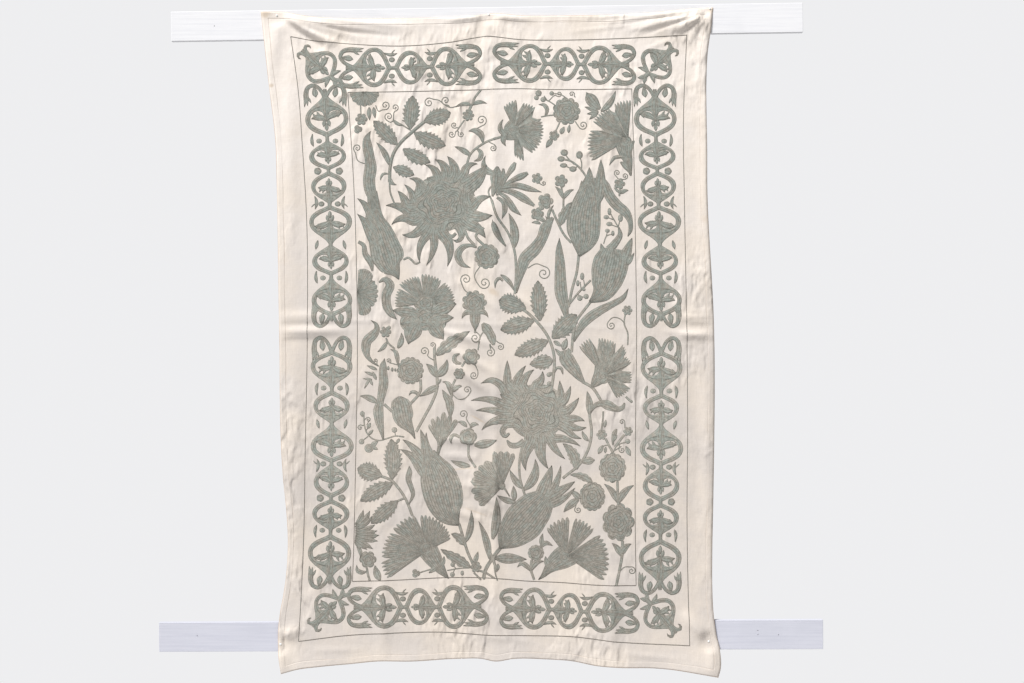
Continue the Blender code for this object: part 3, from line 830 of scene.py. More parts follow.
# Blades with their own widths. Each station: x, y, full width
fieldBlades = [
    [(371, 131.6, 0), (367.6, 139, 7), (368, 148, 10.5), (370, 158, 10.5), (371, 168, 12.5),
     (369.5, 180, 12.5), (370.5, 190, 12), (373, 197, 10.5)],
    [(372.4, 192, 10.5), (374, 204, 12.5), (375.3, 221, 20), (380.5, 233, 26), (385, 247, 31),
     (388.5, 258, 33), (391, 266, 24),
     (396, 273, 10), (399, 279.5, 1)],
    [(357.4, 198.5, 0), (363.5, 203, 5), (371, 214, 10), (377, 228, 14)],
    [(357.4, 214, 0), (363.5, 220, 6), (370.5, 231, 12), (378, 246, 14)],
    [(358.6, 242, 3.4), (363.6, 245, 4.4), (365.5, 254, 6), (371, 263, 6), (372.8, 271, 2)],
    [(379.4, 282.5, 1.6), (384.5, 279.4, 5), (390, 284, 9), (386.5, 296, 9.5), (387.6, 307, 9),
     (392, 314.5, 6.5), (397.4, 319.6, 0)],
    [(403.6, 260, 2), (408.5, 257.8, 2.4), (412, 260.4, 2.4), (416, 264, 2.4), (420.4, 262, 1.6)],
    [(468.4, 131.5, 0), (475, 131, 6), (481, 135, 7), (483, 143, 2)],
    [(477, 149, 2), (481, 153, 5), (480, 159, 5), (473.8, 161.6, 0)],
    [(538.4, 105.2, 0), (544, 105.6, 4), (547, 110, 4.6), (545.4, 116.4, 2)],
    [(609, 165.7, 0.5), (613.8, 158.6, 4), (624.6, 157.2, 3)],
    [(624, 142, 22), (625, 152, 15), (628, 162, 9), (630.4, 176, 2)],
    [(501.5, 137, 3), (506, 135.5, 12), (511, 132.5, 20), (517.5, 129.5, 26)],
    [(503.4, 169, 2), (503, 176, 6), (500.4, 186, 8), (497, 196, 2.5)],
    [(502, 186, 2.5), (508, 175, 4.5), (513, 167.5, 6.2), (515.2, 163, 3)],
    [(502, 187, 2.5), (513, 180.5, 5), (522, 176.5, 6.8), (527.8, 173.4, 3.4)],
    [(500, 188, 3), (516, 186, 6.5), (530, 189.5, 6), (541.5, 192.5, 0)],
    [(499, 190, 3), (513, 193, 6.5), (524, 199, 8), (534, 206, 3)],
    [(497.5, 192, 3), (507, 199, 5.5), (513, 208.5, 7), (521.5, 216, 0)],
    [(497, 198, 3), (503.5, 202.6, 5), (505, 210, 5.8), (501.8, 219.4, 0)],
    [(497.5, 167, 2), (497, 172, 9), (496.6, 176.5, 13), (495.8, 184, 10), (494, 191, 6), (492.5, 197, 2)],
    [(609, 250, 9), (616, 242, 7.4), (619.8, 235, 5.5), (618.4, 227.4, 1.6)],
    [(495, 288, 0.5), (495.9, 281.5, 3.4), (499.7, 278.3, 3.5), (502.8, 281, 2.5)],
    [(552.8, 218, 3), (546.5, 226, 11), (541.6, 239, 11), (534.5, 249.5, 13), (525, 259, 13),
     (521, 271, 9.5), (518.2, 283, 5), (516.4, 293, 1.5)],
    [(559.2, 238, 0), (559, 249, 6.5), (559.8, 263, 10), (560.2, 280, 12), (561, 293, 13),
     (564, 306, 9.5), (566, 316, 5)],
    [(628, 288.5, 0), (623.5, 297, 5), (611.5, 304.5, 7), (600, 310.5, 9), (589.5, 317.5, 10),
     (582, 325, 8.5), (577, 333.5, 5.5), (574, 341.5, 1)],
    [(602, 176, 0), (605, 186, 9), (608.5, 195, 10.5), (616.5, 205.5, 11), (626, 213.5, 9),
     (630, 222, 5.5), (630, 231, 4), (627.5, 236.5, 1)],
    [(385, 358.2, 0), (383.6, 365.2, 7), (383.5, 374, 9), (384, 383, 10), (382.5, 392, 9),
     (380.5, 401.6, 7.5), (378.8, 410, 10.5),
     (379.3, 418, 9.8), (381.8, 430, 5.5), (383.8, 439.5, 1.5)],
    [(400.2, 396.2, 3), (400.3, 399, 14), (401, 404, 20), (402.5, 410, 21), (403.6, 416, 21),
     (405.2, 421, 17), (408.5, 426, 11),
     (412, 431, 6), (415.3, 438.2, 1)],
    [(371, 320.1, 0), (376.5, 324.5, 4), (377.3, 329.5, 6.5), (373.5, 335, 9.5), (367.5, 341, 10),
     (366.3, 349, 9), (368, 356, 5.5),
     (373, 362, 2.8), (379, 366, 1.2)],
    [(390.6, 349.3, 0), (395.5, 351.5, 4), (397.5, 357, 4.8), (398.4, 365, 1.6)],
    [(409.3, 395.2, 0), (411.5, 392, 3), (415, 391.8, 4), (419.5, 395.5, 2.5)],
    [(441.5, 427, 14), (441.5, 433, 13.5), (441, 439, 9.5), (440.2, 444.5, 5), (438.6, 451, 3.4),
     (437.6, 456, 3)],
    [(482.6, 323.4, 3), (485.6, 327.4, 9.5), (489.6, 333, 9), (492.4, 339.4, 8.4), (493.6, 344.6, 3)],
    [(459.9, 353.6, 1), (455.5, 355.5, 4), (454.5, 359.5, 5), (457, 362.5, 4.5), (461.5, 363.3, 2)],
    [(442.4, 381.6, 0), (447, 382.5, 4), (450, 387, 6.5), (452, 395, 3)],
    [(442.3, 389.3, 0), (445.5, 395, 5.5), (449.5, 401.5, 8.5), (450.5, 408, 8), (450.5, 414, 4),
     (449.7, 419.4, 0.5)],
    [(563.5, 350.5, 6), (565.5, 357, 14.5), (569.5, 363.5, 14.5), (574.5, 370, 12), (579, 376.5, 8),
     (584, 382.5, 2.5)],
    [(554.4, 372, 1.5), (557, 367.6, 3), (560.8, 368.2, 3.8), (562.6, 374, 1)],
    [(590.3, 413, 0.5), (593.5, 406.5, 4.5), (600, 403.3, 6), (607, 404.8, 10), (613, 407.4, 8),
     (618.5, 409, 5.5), (622.5, 407, 4.5), (624.2, 402.6, 1.5)],
    [(608, 356, 14), (607, 362, 20), (604.5, 369, 22), (599.5, 377, 15), (594.5, 383, 9), (591, 387.2, 2)],
    [(458, 226, 9), (461.5, 233, 8), (461, 238.5, 5.5), (456.5, 241.4, 3.2), (452.6, 239.6, 0)],
    [(456, 233.4, 3), (452.4, 236.6, 4), (447.4, 234.6, 4.6), (446.8, 229.4, 4.4), (451, 226.8, 4)],
    [(476.7, 247.5, 2), (470, 245.6, 3.6), (463.4, 247.2, 6), (458, 254.6, 7.6), (462, 264, 6),
     (470.6, 267.8, 0)],
    [(514, 424.5, 6), (506, 425.5, 6), (502.3, 430.5, 6.2), (505.2, 435.6, 5), (509.4, 433, 2)],
    [(524, 440.5, 6.5), (517.5, 444.8, 6), (510.5, 444.5, 5.5), (507, 439.8, 1.5)],
    [(506, 393.5, 9), (499.5, 383.5, 8), (491.5, 380, 6.4), (480.9, 383, 0)],
    [(409.5, 465, 0), (409.9, 471, 5.5), (408.6, 478, 6), (411.4, 486.5, 5.2), (413.3, 493, 4.6),
     (409.4, 503.6, 0.6)],
    [(451.5, 443.2, 0.5), (450.9, 437.6, 3.8), (453.8, 434.7, 4), (460, 436.6, 3)],
    [(500.6, 483.6, 5), (505, 488.6, 2.4), (509.6, 495.8, 1.4)],
    [(356.9, 564.3, 0), (357.8, 570, 4.5), (362.5, 572, 4.6), (366.5, 571, 1)],
    [(428, 549, 21), (434, 558.5, 17.5), (439, 566, 12.5), (444, 572.5, 7), (448.8, 577.6, 1)],
    [(570, 553, 24), (562, 557.5, 23), (554.5, 562.5, 18), (547.5, 569.5, 9), (543, 575, 4.5),
     (538.3, 579, 0.6)],
    [(549, 566, 6), (546, 560, 5), (545.3, 555.6, 0)],
    [(540, 547, 3), (545.6, 542.4, 5.4), (552.8, 545.2, 0)],
    [(517.2, 566.6, 0), (521.6, 562.8, 4.6), (526, 565, 5.6), (531, 570.6, 2)],
    [(612.5, 444.5, 1.5), (612.8, 437, 3.5), (614.8, 431.5, 4.8), (616.2, 428.6, 1.5)],
    [(625.4, 396.5, 2.4), (629.4, 400.2, 2.4), (631.4, 401.4, 2.2)],
    [(496.5, 571, 2), (494, 561.5, 3), (488.8, 549, 3)],
]
# Stems: points from root to tip, and width
fieldStems = [
    ([(394.8, 204), (390.6, 192.8), (389.9, 180.2)], 2),
    ([(389.9, 182), (390.6, 167.6), (394.1, 153.6), (401.8, 142.4), (411.6, 133.3), (424.6, 122.4)], 3.6),
    ([(361, 106), (361.5, 117)], 1.6), ([(393, 121), (403, 126), (411, 131)], 1.8),
    ([(481, 90.4), (475.3, 97.6), (471.8, 106), (469, 112)], 2.4),
    ([(464.5, 120.5), (460, 127), (457.2, 131.5)], 1.8),
    ([(466.5, 166), (470.6, 154.5), (482.9, 144.3), (504, 136.4)], 2.6),
    ([(541, 117.6), (547, 116.4), (553.4, 115.8)], 1.8), ([(559.4, 123.6), (555.4, 132)], 1.9),
    ([(588.5, 181), (577.6, 166.7), (570, 161.5), (562.4, 159.7)], 2.2),
    ([(574, 165), (567.5, 158.4), (564.4, 154)], 1.6), ([(581, 172), (581.4, 164), (579.6, 157)], 1.6),
    ([(577, 167.5), (570, 168.6), (564.5, 166)], 1.4), ([(563, 214), (563.2, 206), (563.4, 198)], 2.2),
    ([(563, 198), (561.6, 190), (560.8, 185)], 2), ([(619, 196.5), (619.6, 190), (620, 185)], 2.2),
    ([(491.6, 200.5), (496.6, 216), (508.5, 234), (514.6, 252), (516, 270), (514.9, 294)], 2.8),
    ([(491.6, 200.5), (488.6, 191.5), (491.8, 186.8), (495.2, 190)], 2),
    ([(578.6, 255), (576.6, 272), (571.8, 290), (568.4, 307)], 3),
    ([(569.6, 303.6), (579.6, 291.2), (590.5, 280.3)], 2.2), ([(581, 290), (580, 282)], 1.3),
    ([(584.6, 287.4), (583.4, 280)], 1.3), ([(577.8, 295), (583, 297.4)], 1.3),
    ([(590, 302.5), (582.5, 312), (576.5, 320.5), (573, 334), (571.4, 352)], 3),
    ([(552, 210), (557.6, 223), (564.6, 236), (571, 243)], 2.6),
    ([(520, 308), (525.3, 311.2), (534.7, 319.7), (548.6, 338.4), (554, 356.2), (553.3, 374.8),
      (550.9, 391.9)], 3.2),
    ([(484, 228), (476, 236), (484.4, 246)], 3), ([(464.8, 230), (468, 238), (474.6, 245.4)], 3),
    ([(568, 350), (566, 355), (566, 360)], 3), ([(618.4, 228), (613, 219), (609.6, 213)], 1.6),
    ([(613, 220), (606.4, 217.5)], 1.3), ([(618, 227), (620, 219)], 1.4),
    ([(617.4, 227.4), (609, 224.4)], 1.3), ([(603.4, 244), (606.6, 236), (612, 234.6)], 1.4),
    ([(605.6, 238), (607.4, 231)], 1.2),
    ([(625, 314.5), (623.9, 323.6), (627.4, 332.9), (627.4, 345)], 1.8),
    ([(475.3, 322), (475.2, 333)], 2.4),
    ([(434.7, 347), (434.8, 356), (435.8, 366), (437.3, 378), (437.3, 388), (432.6, 401.6), (425.5, 415),
      (416.5, 431.4)], 3.2),
    ([(420.7, 379.2), (420.8, 390.4), (410.2, 404.4)], 3), ([(465.5, 361), (462, 366.6)], 2.4),
    ([(455.7, 379), (452, 388), (452, 396), (449.7, 402)], 2.4),
    ([(386.4, 338), (388.5, 342.8), (395, 348.6)], 2), ([(384.6, 404), (392.5, 411.4)], 3),
    ([(488, 328), (481.6, 334.4), (478.1, 350)], 1.8),
    ([(398.4, 365), (392.7, 363.4), (389.4, 362.6)], 1.4), ([(490, 344), (490.6, 349)], 1.6),
    ([(582, 381.5), (592, 387.5), (600.5, 400)], 3.2), ([(602.9, 411), (602.6, 418), (601, 430)], 2),
    ([(589.4, 412), (589.7, 418), (591.3, 430.5), (589, 446), (581.2, 461.5), (562.6, 477.8)], 3),
    ([(364.2, 412), (364.7, 423.4), (366.8, 431.8), (372.4, 438.1), (379.4, 440.2), (387.8, 438.1),
      (396.2, 435.7), (404.6, 436.6)], 1.8),
    ([(368.6, 436), (362, 441)], 1.3), ([(395.4, 432), (395.8, 436)], 1.3),
    ([(366.6, 430), (369.6, 426)], 1.3),
    ([(380, 475.2), (392, 480.1), (399, 487.8), (406, 498.6), (408.8, 504.8), (412.6, 515)], 3),
    ([(468.7, 444), (469, 455.6), (475.8, 467)], 2.6), ([(404.8, 497.6), (397.4, 500.6)], 2.2),
    ([(459.2, 523), (463.4, 537), (467.6, 551), (473.4, 564)], 3.2),
    ([(500.5, 547), (492.8, 557.1), (485, 571), (483.6, 577.8)], 4),
    ([(478, 569.6), (485, 571.8), (494.3, 577.4)], 2.4),
    ([(522.2, 445.3), (519.4, 461.5), (519.9, 477), (524.6, 494)], 2.6),
    ([(617, 481), (617.4, 492), (618, 504)], 2.8),
    ([(622.3, 540), (621.5, 557.1), (619.2, 569.5), (616, 584.8)], 3.2),
    ([(531.6, 559.6), (530.8, 568), (534, 579)], 2.8), ([(605.2, 438.3), (612.2, 452)], 2.6),
    ([(614.5, 446.6), (623.9, 434.4)], 2.8), ([(613, 452), (616, 446), (621, 443), (626, 442)], 1.6),
    ([(611.8, 449), (606.8, 444.8), (601.6, 446.4)], 1.5), ([(614.6, 450), (621, 446)], 1.4),
    ([(367, 567), (368, 573), (370, 580)], 2.6), ([(447.3, 569.9), (459.2, 567.8), (470, 567.2)], 1.6),
    ([(431, 568.6), (420, 572)], 1.8), ([(494.5, 557.6), (494.6, 568), (497.4, 579.8)], 1.8),
    ([(456, 567.6), (453, 564.6)], 1.2), ([(455, 568), (453, 573)], 1.2),
    ([(474, 572), (481, 579)], 2.2), ([(469, 110), (470.4, 106)], 1.8),
    ([(556.5, 107), (549, 102), (543.4, 99.6)], 1.6), ([(547, 101), (544, 96.5)], 1.4),
    ([(567, 99.5), (561.5, 95.6), (552, 94)], 1.4), ([(474.3, 364.5), (476, 366)], 1.4),
]
# Tendrils: points of the stem, then spiral centre x, centre y and radius
fieldTendrils = [
    ([(376, 106), (379, 112), (384, 111.5)], 385.7, 106, 4.5),
    ([(394.5, 121), (391, 123), (387, 121)], 389.2, 117.2, 4.2),
    ([(393.7, 120.7), (396, 113)], 395.5, 108.1, 3.5),
    ([(366, 164.5), (358.4, 161.3), (354.5, 152)], 357.7, 148.7, 4),
    ([(457, 106.7), (450.8, 108.1), (443.8, 104.6), (439.6, 101.1), (432.6, 98.3)], 429.1, 103.2, 4.8),
    ([(450, 108), (448, 106)], 445.9, 101.1, 4.6), ([(459, 128.4), (456.6, 129)], 454.3, 125.6, 3.2),
    ([(457.4, 131), (456, 133)], 451.8, 134.7, 3.6),
    ([(457.4, 131), (458.6, 132.6)], 461.3, 134.7, 3.2),
    ([(538, 183), (541, 186.4)], 543.4, 183.6, 2.4),
    ([(476.7, 129.1), (483.7, 127)], 481.6, 120.7, 5.3),
    ([(489, 142.6), (495.4, 146)], 493, 148.8, 3.4), ([(548, 102), (552.4, 99)], 558.8, 94.6, 3),
    ([(575, 98), (573.6, 96)], 571.6, 94.8, 2.8), ([(575, 122), (576.5, 130)], 582.8, 125.7, 4.5),
    ([(618, 179.4), (614, 178)], 616.9, 173.4, 3.2), ([(621, 180), (627, 180)], 624.6, 176.5, 3),
    ([(473, 296), (464.6, 290), (461.6, 282)], 466, 279.4, 5.4),
    ([(480, 266.5), (474.6, 276), (478.5, 287)], 484.6, 283, 6),
    ([(527.6, 268.4), (536, 264), (545, 265)], 543.5, 273.5, 6.7),
    ([(624.6, 323.6), (620, 319), (612.2, 317.7), (606, 321.3)], 611, 325.4, 4.4),
    ([(475.3, 331), (478, 333)], 475.3, 337.9, 5.2),
    ([(495.9, 340.7), (500, 340.6)], 500.5, 346.9, 3.6),
    ([(490.6, 346), (494.6, 349)], 490.4, 352.3, 4.4),
    ([(435, 361), (431.6, 357.6)], 424.6, 351.2, 4.5), ([(435.2, 358), (436.6, 350)], 432.9, 344.9, 3),
    ([(452.9, 394.6), (459.2, 399.1), (466.2, 397.4), (470, 391.8)], 467.3, 389.7, 4),
    ([(470.1, 425), (468.6, 418)], 463.4, 413.8, 4.2),
    ([(475.3, 364.5), (478.1, 372.2), (477.4, 378)], 474, 375, 3.8),
    ([(378.5, 366), (377.8, 363)], 375.8, 360.6, 2.2),
    ([(391, 363), (391.6, 361.4)], 388.9, 360.6, 2.4), ([(364.6, 420), (366, 418)], 368.6, 419.4, 2.6),
    ([(365, 425), (363, 424)], 360.5, 427.3, 2.8),
    ([(620, 570.3), (624.6, 566.4), (630, 565.2)], 631.4, 570.2, 4),
    ([(575.8, 500.3), (573.8, 505.8)], 577.8, 509.3, 3.6),
    ([(624.6, 427.6), (625.6, 422)], 621.6, 421.6, 2.8),
    ([(619, 444.6), (618, 447)], 621.6, 449.6, 3.2),
]
# Rounds: x, y, radius, then for some: lobes, depth of the scallops, height over width
fieldRounds = [
    (425.6, 303, 12, 0, 0, 0.8), (427.4, 548.4, 8.5), (564.6, 556.6, 7.5), (501.8, 485.4, 4),
    (514, 130, 8, 0, 0, 0.8), (625.6, 142, 6), (603, 376.4, 7.5), (474.5, 302.6, 12.8, 9, 0.2, 0.98),
    (361.9, 120, 6.5, 6, 0.35), (358.4, 129.8, 4.6, 3, 0.3), (468.3, 115.8, 6.3, 7, 0.35),
    (551.6, 94, 2.4), (538.5, 93.8, 3.4), (543, 100.2, 2.8), (564.1, 153.3, 4, 0, 0, 0.88),
    (561, 159.5, 4, 0, 0, 0.75), (563.4, 166, 4, 0, 0, 0.6), (572.7, 169.6, 4, 0, 0, 0.75),
    (579.2, 155.6, 3.6, 0, 0, 1.15), (536.9, 178.9, 5.8, 5, 0.35), (560.8, 181.6, 7, 5, 0.35),
    (619.2, 184.3, 6, 5, 0.35), (545.4, 201.6, 8.2, 5, 0.3), (537.2, 214.4, 7, 5, 0.3),
    (487, 256.6, 13, 11, 0.12), (582, 276.5, 2.3, 0, 0, 1.7), (577.6, 283.4, 1.8, 0, 0, 1.8),
    (583.5, 289.6, 2, 0, 0, 0.8), (585.9, 296.6, 2.8), (579.6, 298.2, 3),
    (566.4, 111.8, 14.2, 11, 0.13), (554, 136.2, 5.5, 5, 0.3), (609.1, 212, 2, 0, 0, 2),
    (606, 217.5, 3, 0, 0, 0.75), (620.2, 218.4, 2.7, 0, 0, 1.5), (609, 224.3, 3.2, 0, 0, 0.75),
    (607.2, 231, 2.6, 0, 0, 0.8), (612.6, 233.6, 1.8, 0, 0, 1.5), (627, 310.4, 5.4, 6, 0.35),
    (386, 332, 6, 6, 0.35), (389.4, 327.6, 2), (410.6, 370.6, 13.8, 14, 0.1, 1.02),
    (471.5, 356.6, 8.8, 6, 0.22), (459.5, 373.6, 6, 6, 0.25), (388.6, 368, 1.4, 0, 0, 1.6),
    (392.6, 369.4, 1.4, 0, 0, 1.6), (395.6, 369.8, 1.2, 0, 0, 1.5), (468.3, 436.4, 9.2, 5, 0.16),
    (362, 441.3, 3), (369.3, 447.9, 4.6), (394.8, 429.6, 3), (548.6, 374.6, 2.4), (549.2, 383.5, 2.6),
    (368.2, 559, 8.9, 6, 0.22), (416.1, 572.7, 4.6, 3, 0.4), (476, 566.4, 6, 6, 0.35),
    (452.9, 563.9, 2.5), (452.6, 573.8, 2.6), (462.4, 572.4, 1.9, 0, 0, 1.4),
    (535.9, 552.4, 8.4, 12, 0.1), (618, 521.6, 16.6, 9, 0.16, 1.18), (612.2, 467.3, 14, 12, 0.1, 1.1),
    (592, 496, 13.4, 14, 0.08, 1.12), (601.4, 434.4, 5.6, 6, 0.35), (627.7, 431, 5, 6, 0.35),
    (627.4, 441, 2.7), (541.4, 208, 3), (631, 401.2, 1.5), (484, 577.4, 1.6), (536.4, 98.4, 2.6),
    (412, 322, 12, 0, 0, 0.9), (436, 322, 11, 0, 0, 0.9), (425, 318.5, 13, 0, 0, 0.95),
]
# Fans: apex x, apex y, then petals of (from angle, to angle, first radius, last radius, teeth, slit after it)
fieldFans = [
    ((514, 130), [(-90, -71, 27, 34.6, 4, 0.42), (-55, 24, 31, 30, 12, 0.3),
                  (44, 72, 31.8, 28.9, 5, 0.42), (84, 116, 31, 25.7, 5, 0)]),
    ((425.6, 304), [(0, 49, 31, 30, 9, 0.4), (54, 99, 29, 31, 7, 0.55), (103, 145, 29, 34, 8, 0.55),
                    (149, 187, 32, 31, 7, 0)]),
    ((628, 140), [(85, 113, 40.5, 39, 6, 0.22), (121, 155, 38, 41, 8, 0.38), (165, 212, 40, 44, 9, 0)]),
    ((604, 376), [(-62, -24, 26, 30, 7, 0.35), (-16, 11, 28.5, 28, 5, 0.42), (25, 43, 31, 30, 4, 0.12),
                  (46, 61, 33, 38, 4, 0.32),
                  (69, 100, 35.5, 39.7, 7, 0.34), (110, 132, 42, 39.6, 5, 0)]),
    ((428, 550), [(26, 103, 26.5, 37.7, 12, 0.4), (109, 150, 38.6, 42.3, 6, 0.3),
                  (153, 190, 42.1, 48, 7, 0.24), (193, 216, 49.4, 50.1, 5, 0)]),
    ((566, 556), [(-34.5, 35, 46, 41, 10, 0.76), (43, 78, 40, 40.5, 6, 0.72), (85, 127, 41, 34.5, 6, 0)]),
]
# Scalloped fans: apex x, apex y, then petals as above, their rims in rounded lobes
fieldShells = [
    ((502.5, 486), [(66, 109, 35.5, 36.5, 4, 0.2), (116, 176, 31, 33, 4, 0.14),
                    (181, 227, 32.5, 29.5, 3, 0)]),
    ((365, 92), [(183, 357, 16, 16, 7, 0)]),
    ((441, 447), [(54, 66, 32, 32.6, 1, 0.26), (67.5, 78, 33.6, 34.6, 1, 0.2),
                  (79.5, 90, 36, 36, 1, 0.26), (92, 101, 32, 31, 1, 0.22),
                  (102.5, 112, 31, 30, 1, 0.3), (113.5, 123, 27, 25, 1, 0)]),
    ((357.4, 293), [(-86, -49, 24, 25, 1, 0.14), (-44, 40, 22, 22, 6, 0.14), (45, 87, 26, 26, 1, 0)]),
]
# Blooms: centre x, centre y, radius, squash, turn, then petals of (root x, root y, tip x, tip y, width, bend)
fieldBlooms = [
    ((443, 203), 33, 0.88, -0.3, [
        (438, 177, 425.6, 165.4, 9, 0.16), (446.5, 173.5, 435, 160, 10, 0.16),
        (455, 172.5, 447.2, 156.6, 10, 0.1), (464, 174, 477.6, 164.2, 9, -0.22),
        (473.5, 182, 486.8, 165.4, 16, 0.04), (421, 191, 409.6, 179, 10, 0.28),
        (414, 200, 404.4, 184.8, 7.5, 0.1), (407, 205, 397.8, 191, 9.5, 0.06),
        (411, 212.6, 386.2, 205.8, 11, 0.1), (414, 221, 391.8, 224.8, 10, 0.2),
        (420.5, 230, 402.4, 234.8, 9.5, -0.15), (428.5, 233.6, 420, 263, 9, 0.14),
        (434, 234, 426.4, 265.6, 9, -0.1), (441, 231, 447.4, 266.4, 12, -0.16),
        (471.5, 207, 491, 197, 11, -0.12), (472, 216, 492.6, 216, 12.5, 0.06),
        (470, 225, 485.6, 238.4, 12, -0.1),
        (432, 182, 427, 178, 9, 0), (424, 188, 419, 184, 9, 0)]),
    ((537, 411.5), 29.5, 0.95, -0.3, [
        (507.5, 381, 507.2, 360.1, 8.5, 0), (515.5, 384, 525.7, 365.5, 8.5, -0.06),
        (522.2, 384, 533.9, 369.4, 9, -0.1), (536.2, 385, 542.4, 371, 9.5, 0.14),
        (561, 398, 559.5, 380.3, 8, 0), (564, 400.6, 570.3, 385.7, 7.5, 0.05),
        (566.2, 411, 578.6, 397.3, 8.8, 0.06), (569, 419, 584.3, 420.6, 8.5, -0.1),
        (569, 425, 585.9, 427, 8, 0.12), (567.6, 430.5, 581.2, 438, 7, 0.1),
        (553.3, 437.5, 580, 445.7, 8.5, -0.08), (551, 442, 564.9, 458.4, 8, 0.06),
        (540, 442, 548.3, 468.5, 12, 0.1), (530, 442, 525.7, 470.1, 12.5, 0.12),
        (504, 404.5, 471.1, 400.2, 9, 0.1), (503, 412, 476, 410, 8.5, 0.05),
        (508, 419.6, 481.6, 429.7, 9.5, 0.14), (512, 391, 505, 384, 12, 0), (508, 398, 500, 394, 10, 0)]),
]
# Tulips: body stations of (x, y, width), then tip blades as leaves (base x, base y, tip x, tip y, width,
# and for some a bend)
fieldTulips = [
    ([(592, 178, 14), (589.5, 192, 23), (585, 211, 31.5), (583.3, 225, 34.5), (583.5, 238, 30),
      (581.5, 248, 18), (579, 256.5, 2)],
     [(583, 197, 581.4, 181, 8), (590, 198, 589, 167.6, 11), (598, 204, 600.6, 160, 12, 0.02)]),
    ([(613, 249, 24), (611.8, 258, 34), (609, 270, 36), (606, 282, 31), (601, 293, 21), (594, 299, 9),
      (589, 302, 2)],
     [(622, 264, 631.8, 238, 11), (627, 265, 633.8, 253, 5), (604, 256, 600.5, 243.5, 6),
      (609, 256, 611, 244, 9)]),
    ([(428, 452, 14), (432, 462, 24), (437.3, 474, 36), (441.2, 485, 40), (444, 495.5, 39.5),
      (446.8, 505.5, 35), (450, 513.5, 26.5),
      (453.8, 519, 16), (459, 524.2, 2)],
     [(425, 464, 402.9, 439.1, 9, 0.08), (424, 478, 400.7, 448.9, 11, 0.14),
      (427.4, 466, 420.7, 429, 10, 0.04), (437, 464, 426.5, 432, 7.5, -0.1)]),
    ([(499.8, 547.6, 2), (505.3, 541, 20), (509.3, 536.6, 28), (514.9, 530.6, 35), (523.6, 521.2, 41),
      (530.7, 512.8, 38.5), (536.7, 506, 35),
      (541.5, 500.5, 28), (545, 496, 20)],
     [(537, 503, 551.7, 464.7, 14, 0.03), (546, 498, 560.6, 465, 8, 0.08),
      (541, 501, 574.7, 480.9, 11.5, 0.02), (543, 506, 574.8, 487.2, 8, 0.1)]),
]
# Sepals and cups under the fans. Columns: base x, base y, tip x, tip y, width, and for some a bend
sepals = [
    (420, 314, 392.7, 310.4, 12.5), (421, 321, 400.7, 324, 12), (420, 320, 408.4, 344, 18, 0.05),
    (431, 313, 456.4, 303.6, 14), (431, 320, 453.8, 317.4, 12), (429, 321, 443.8, 339.6, 15, -0.02),
    (508, 137, 503, 119.8, 5.6, -0.3), (508, 134, 506, 146.6, 6, 0.3), (508, 137, 501.4, 134, 4.6),
    (475, 315, 461.8, 318.6, 5.5, 0.35), (475.4, 315, 488.4, 317.6, 5.5, -0.35),
    (475.2, 306, 475.2, 331, 11),
]


# Flame-shaped petal of a bloom: from inside the core, through its root, out along a bow to its tip
def petalStations(inX, inY, rootX, rootY, tipX, tipY, width, bend):
    dx, dy = tipX - rootX, tipY - rootY
    stations = [(inX, inY, width * 1.25)]
    for share, wide in ((0, 1.08), (0.3, 0.92), (0.6, 0.62), (0.85, 0.28), (1, 0)):
        bow = 4 * bend * share * (1 - share)
        stations.append((rootX + dx * share - dy * bow, rootY + dy * share + dx * bow, width * wide))
    return stations


# The field: every motif of the tables above, drawn in the order in which they lie on each other
def field():
    for rows in fieldLeaves.values():
        for row in rows:
            leaf(*row)
    for stations in fieldBlades:
        blade(stations)
    for points, width in fieldStems:
        stem(points, width)
    for points, x, y, radius in fieldTendrils:
        tendril(points, x, y, radius)
    for x, y, radius, *shape in fieldRounds:
        disc(x, y, radius, *shape[:2], layer=0.6, squash=shape[2] if len(shape) > 2 else 1.0)
    for (x, y), petals in fieldFans:
        fan(x, y, petals)
    for (x, y), petals in fieldShells:
        fan(x, y, petals, bite=0.08)
    for (x, y), radius, squash, turn, petals in fieldBlooms:
        disc(x, y, radius, squash=squash, turn=turn, layer=1.2, outlined=False)
        for fromX, fromY, tipX, tipY, width, bend in petals:
            inX, inY = fromX + (x - fromX) * 0.3, fromY + (y - fromY) * 0.3
            blade(petalStations(inX, inY, fromX, fromY, tipX, tipY, width, bend), layer=0.4)
    for body, tips in fieldTulips:
        blade(body, layer=0.6)
        for row in tips:
            leaf(*row, belly=0.35)
    for row in sepals:
        leaf(*row, belly=0.5, layer=0.8)


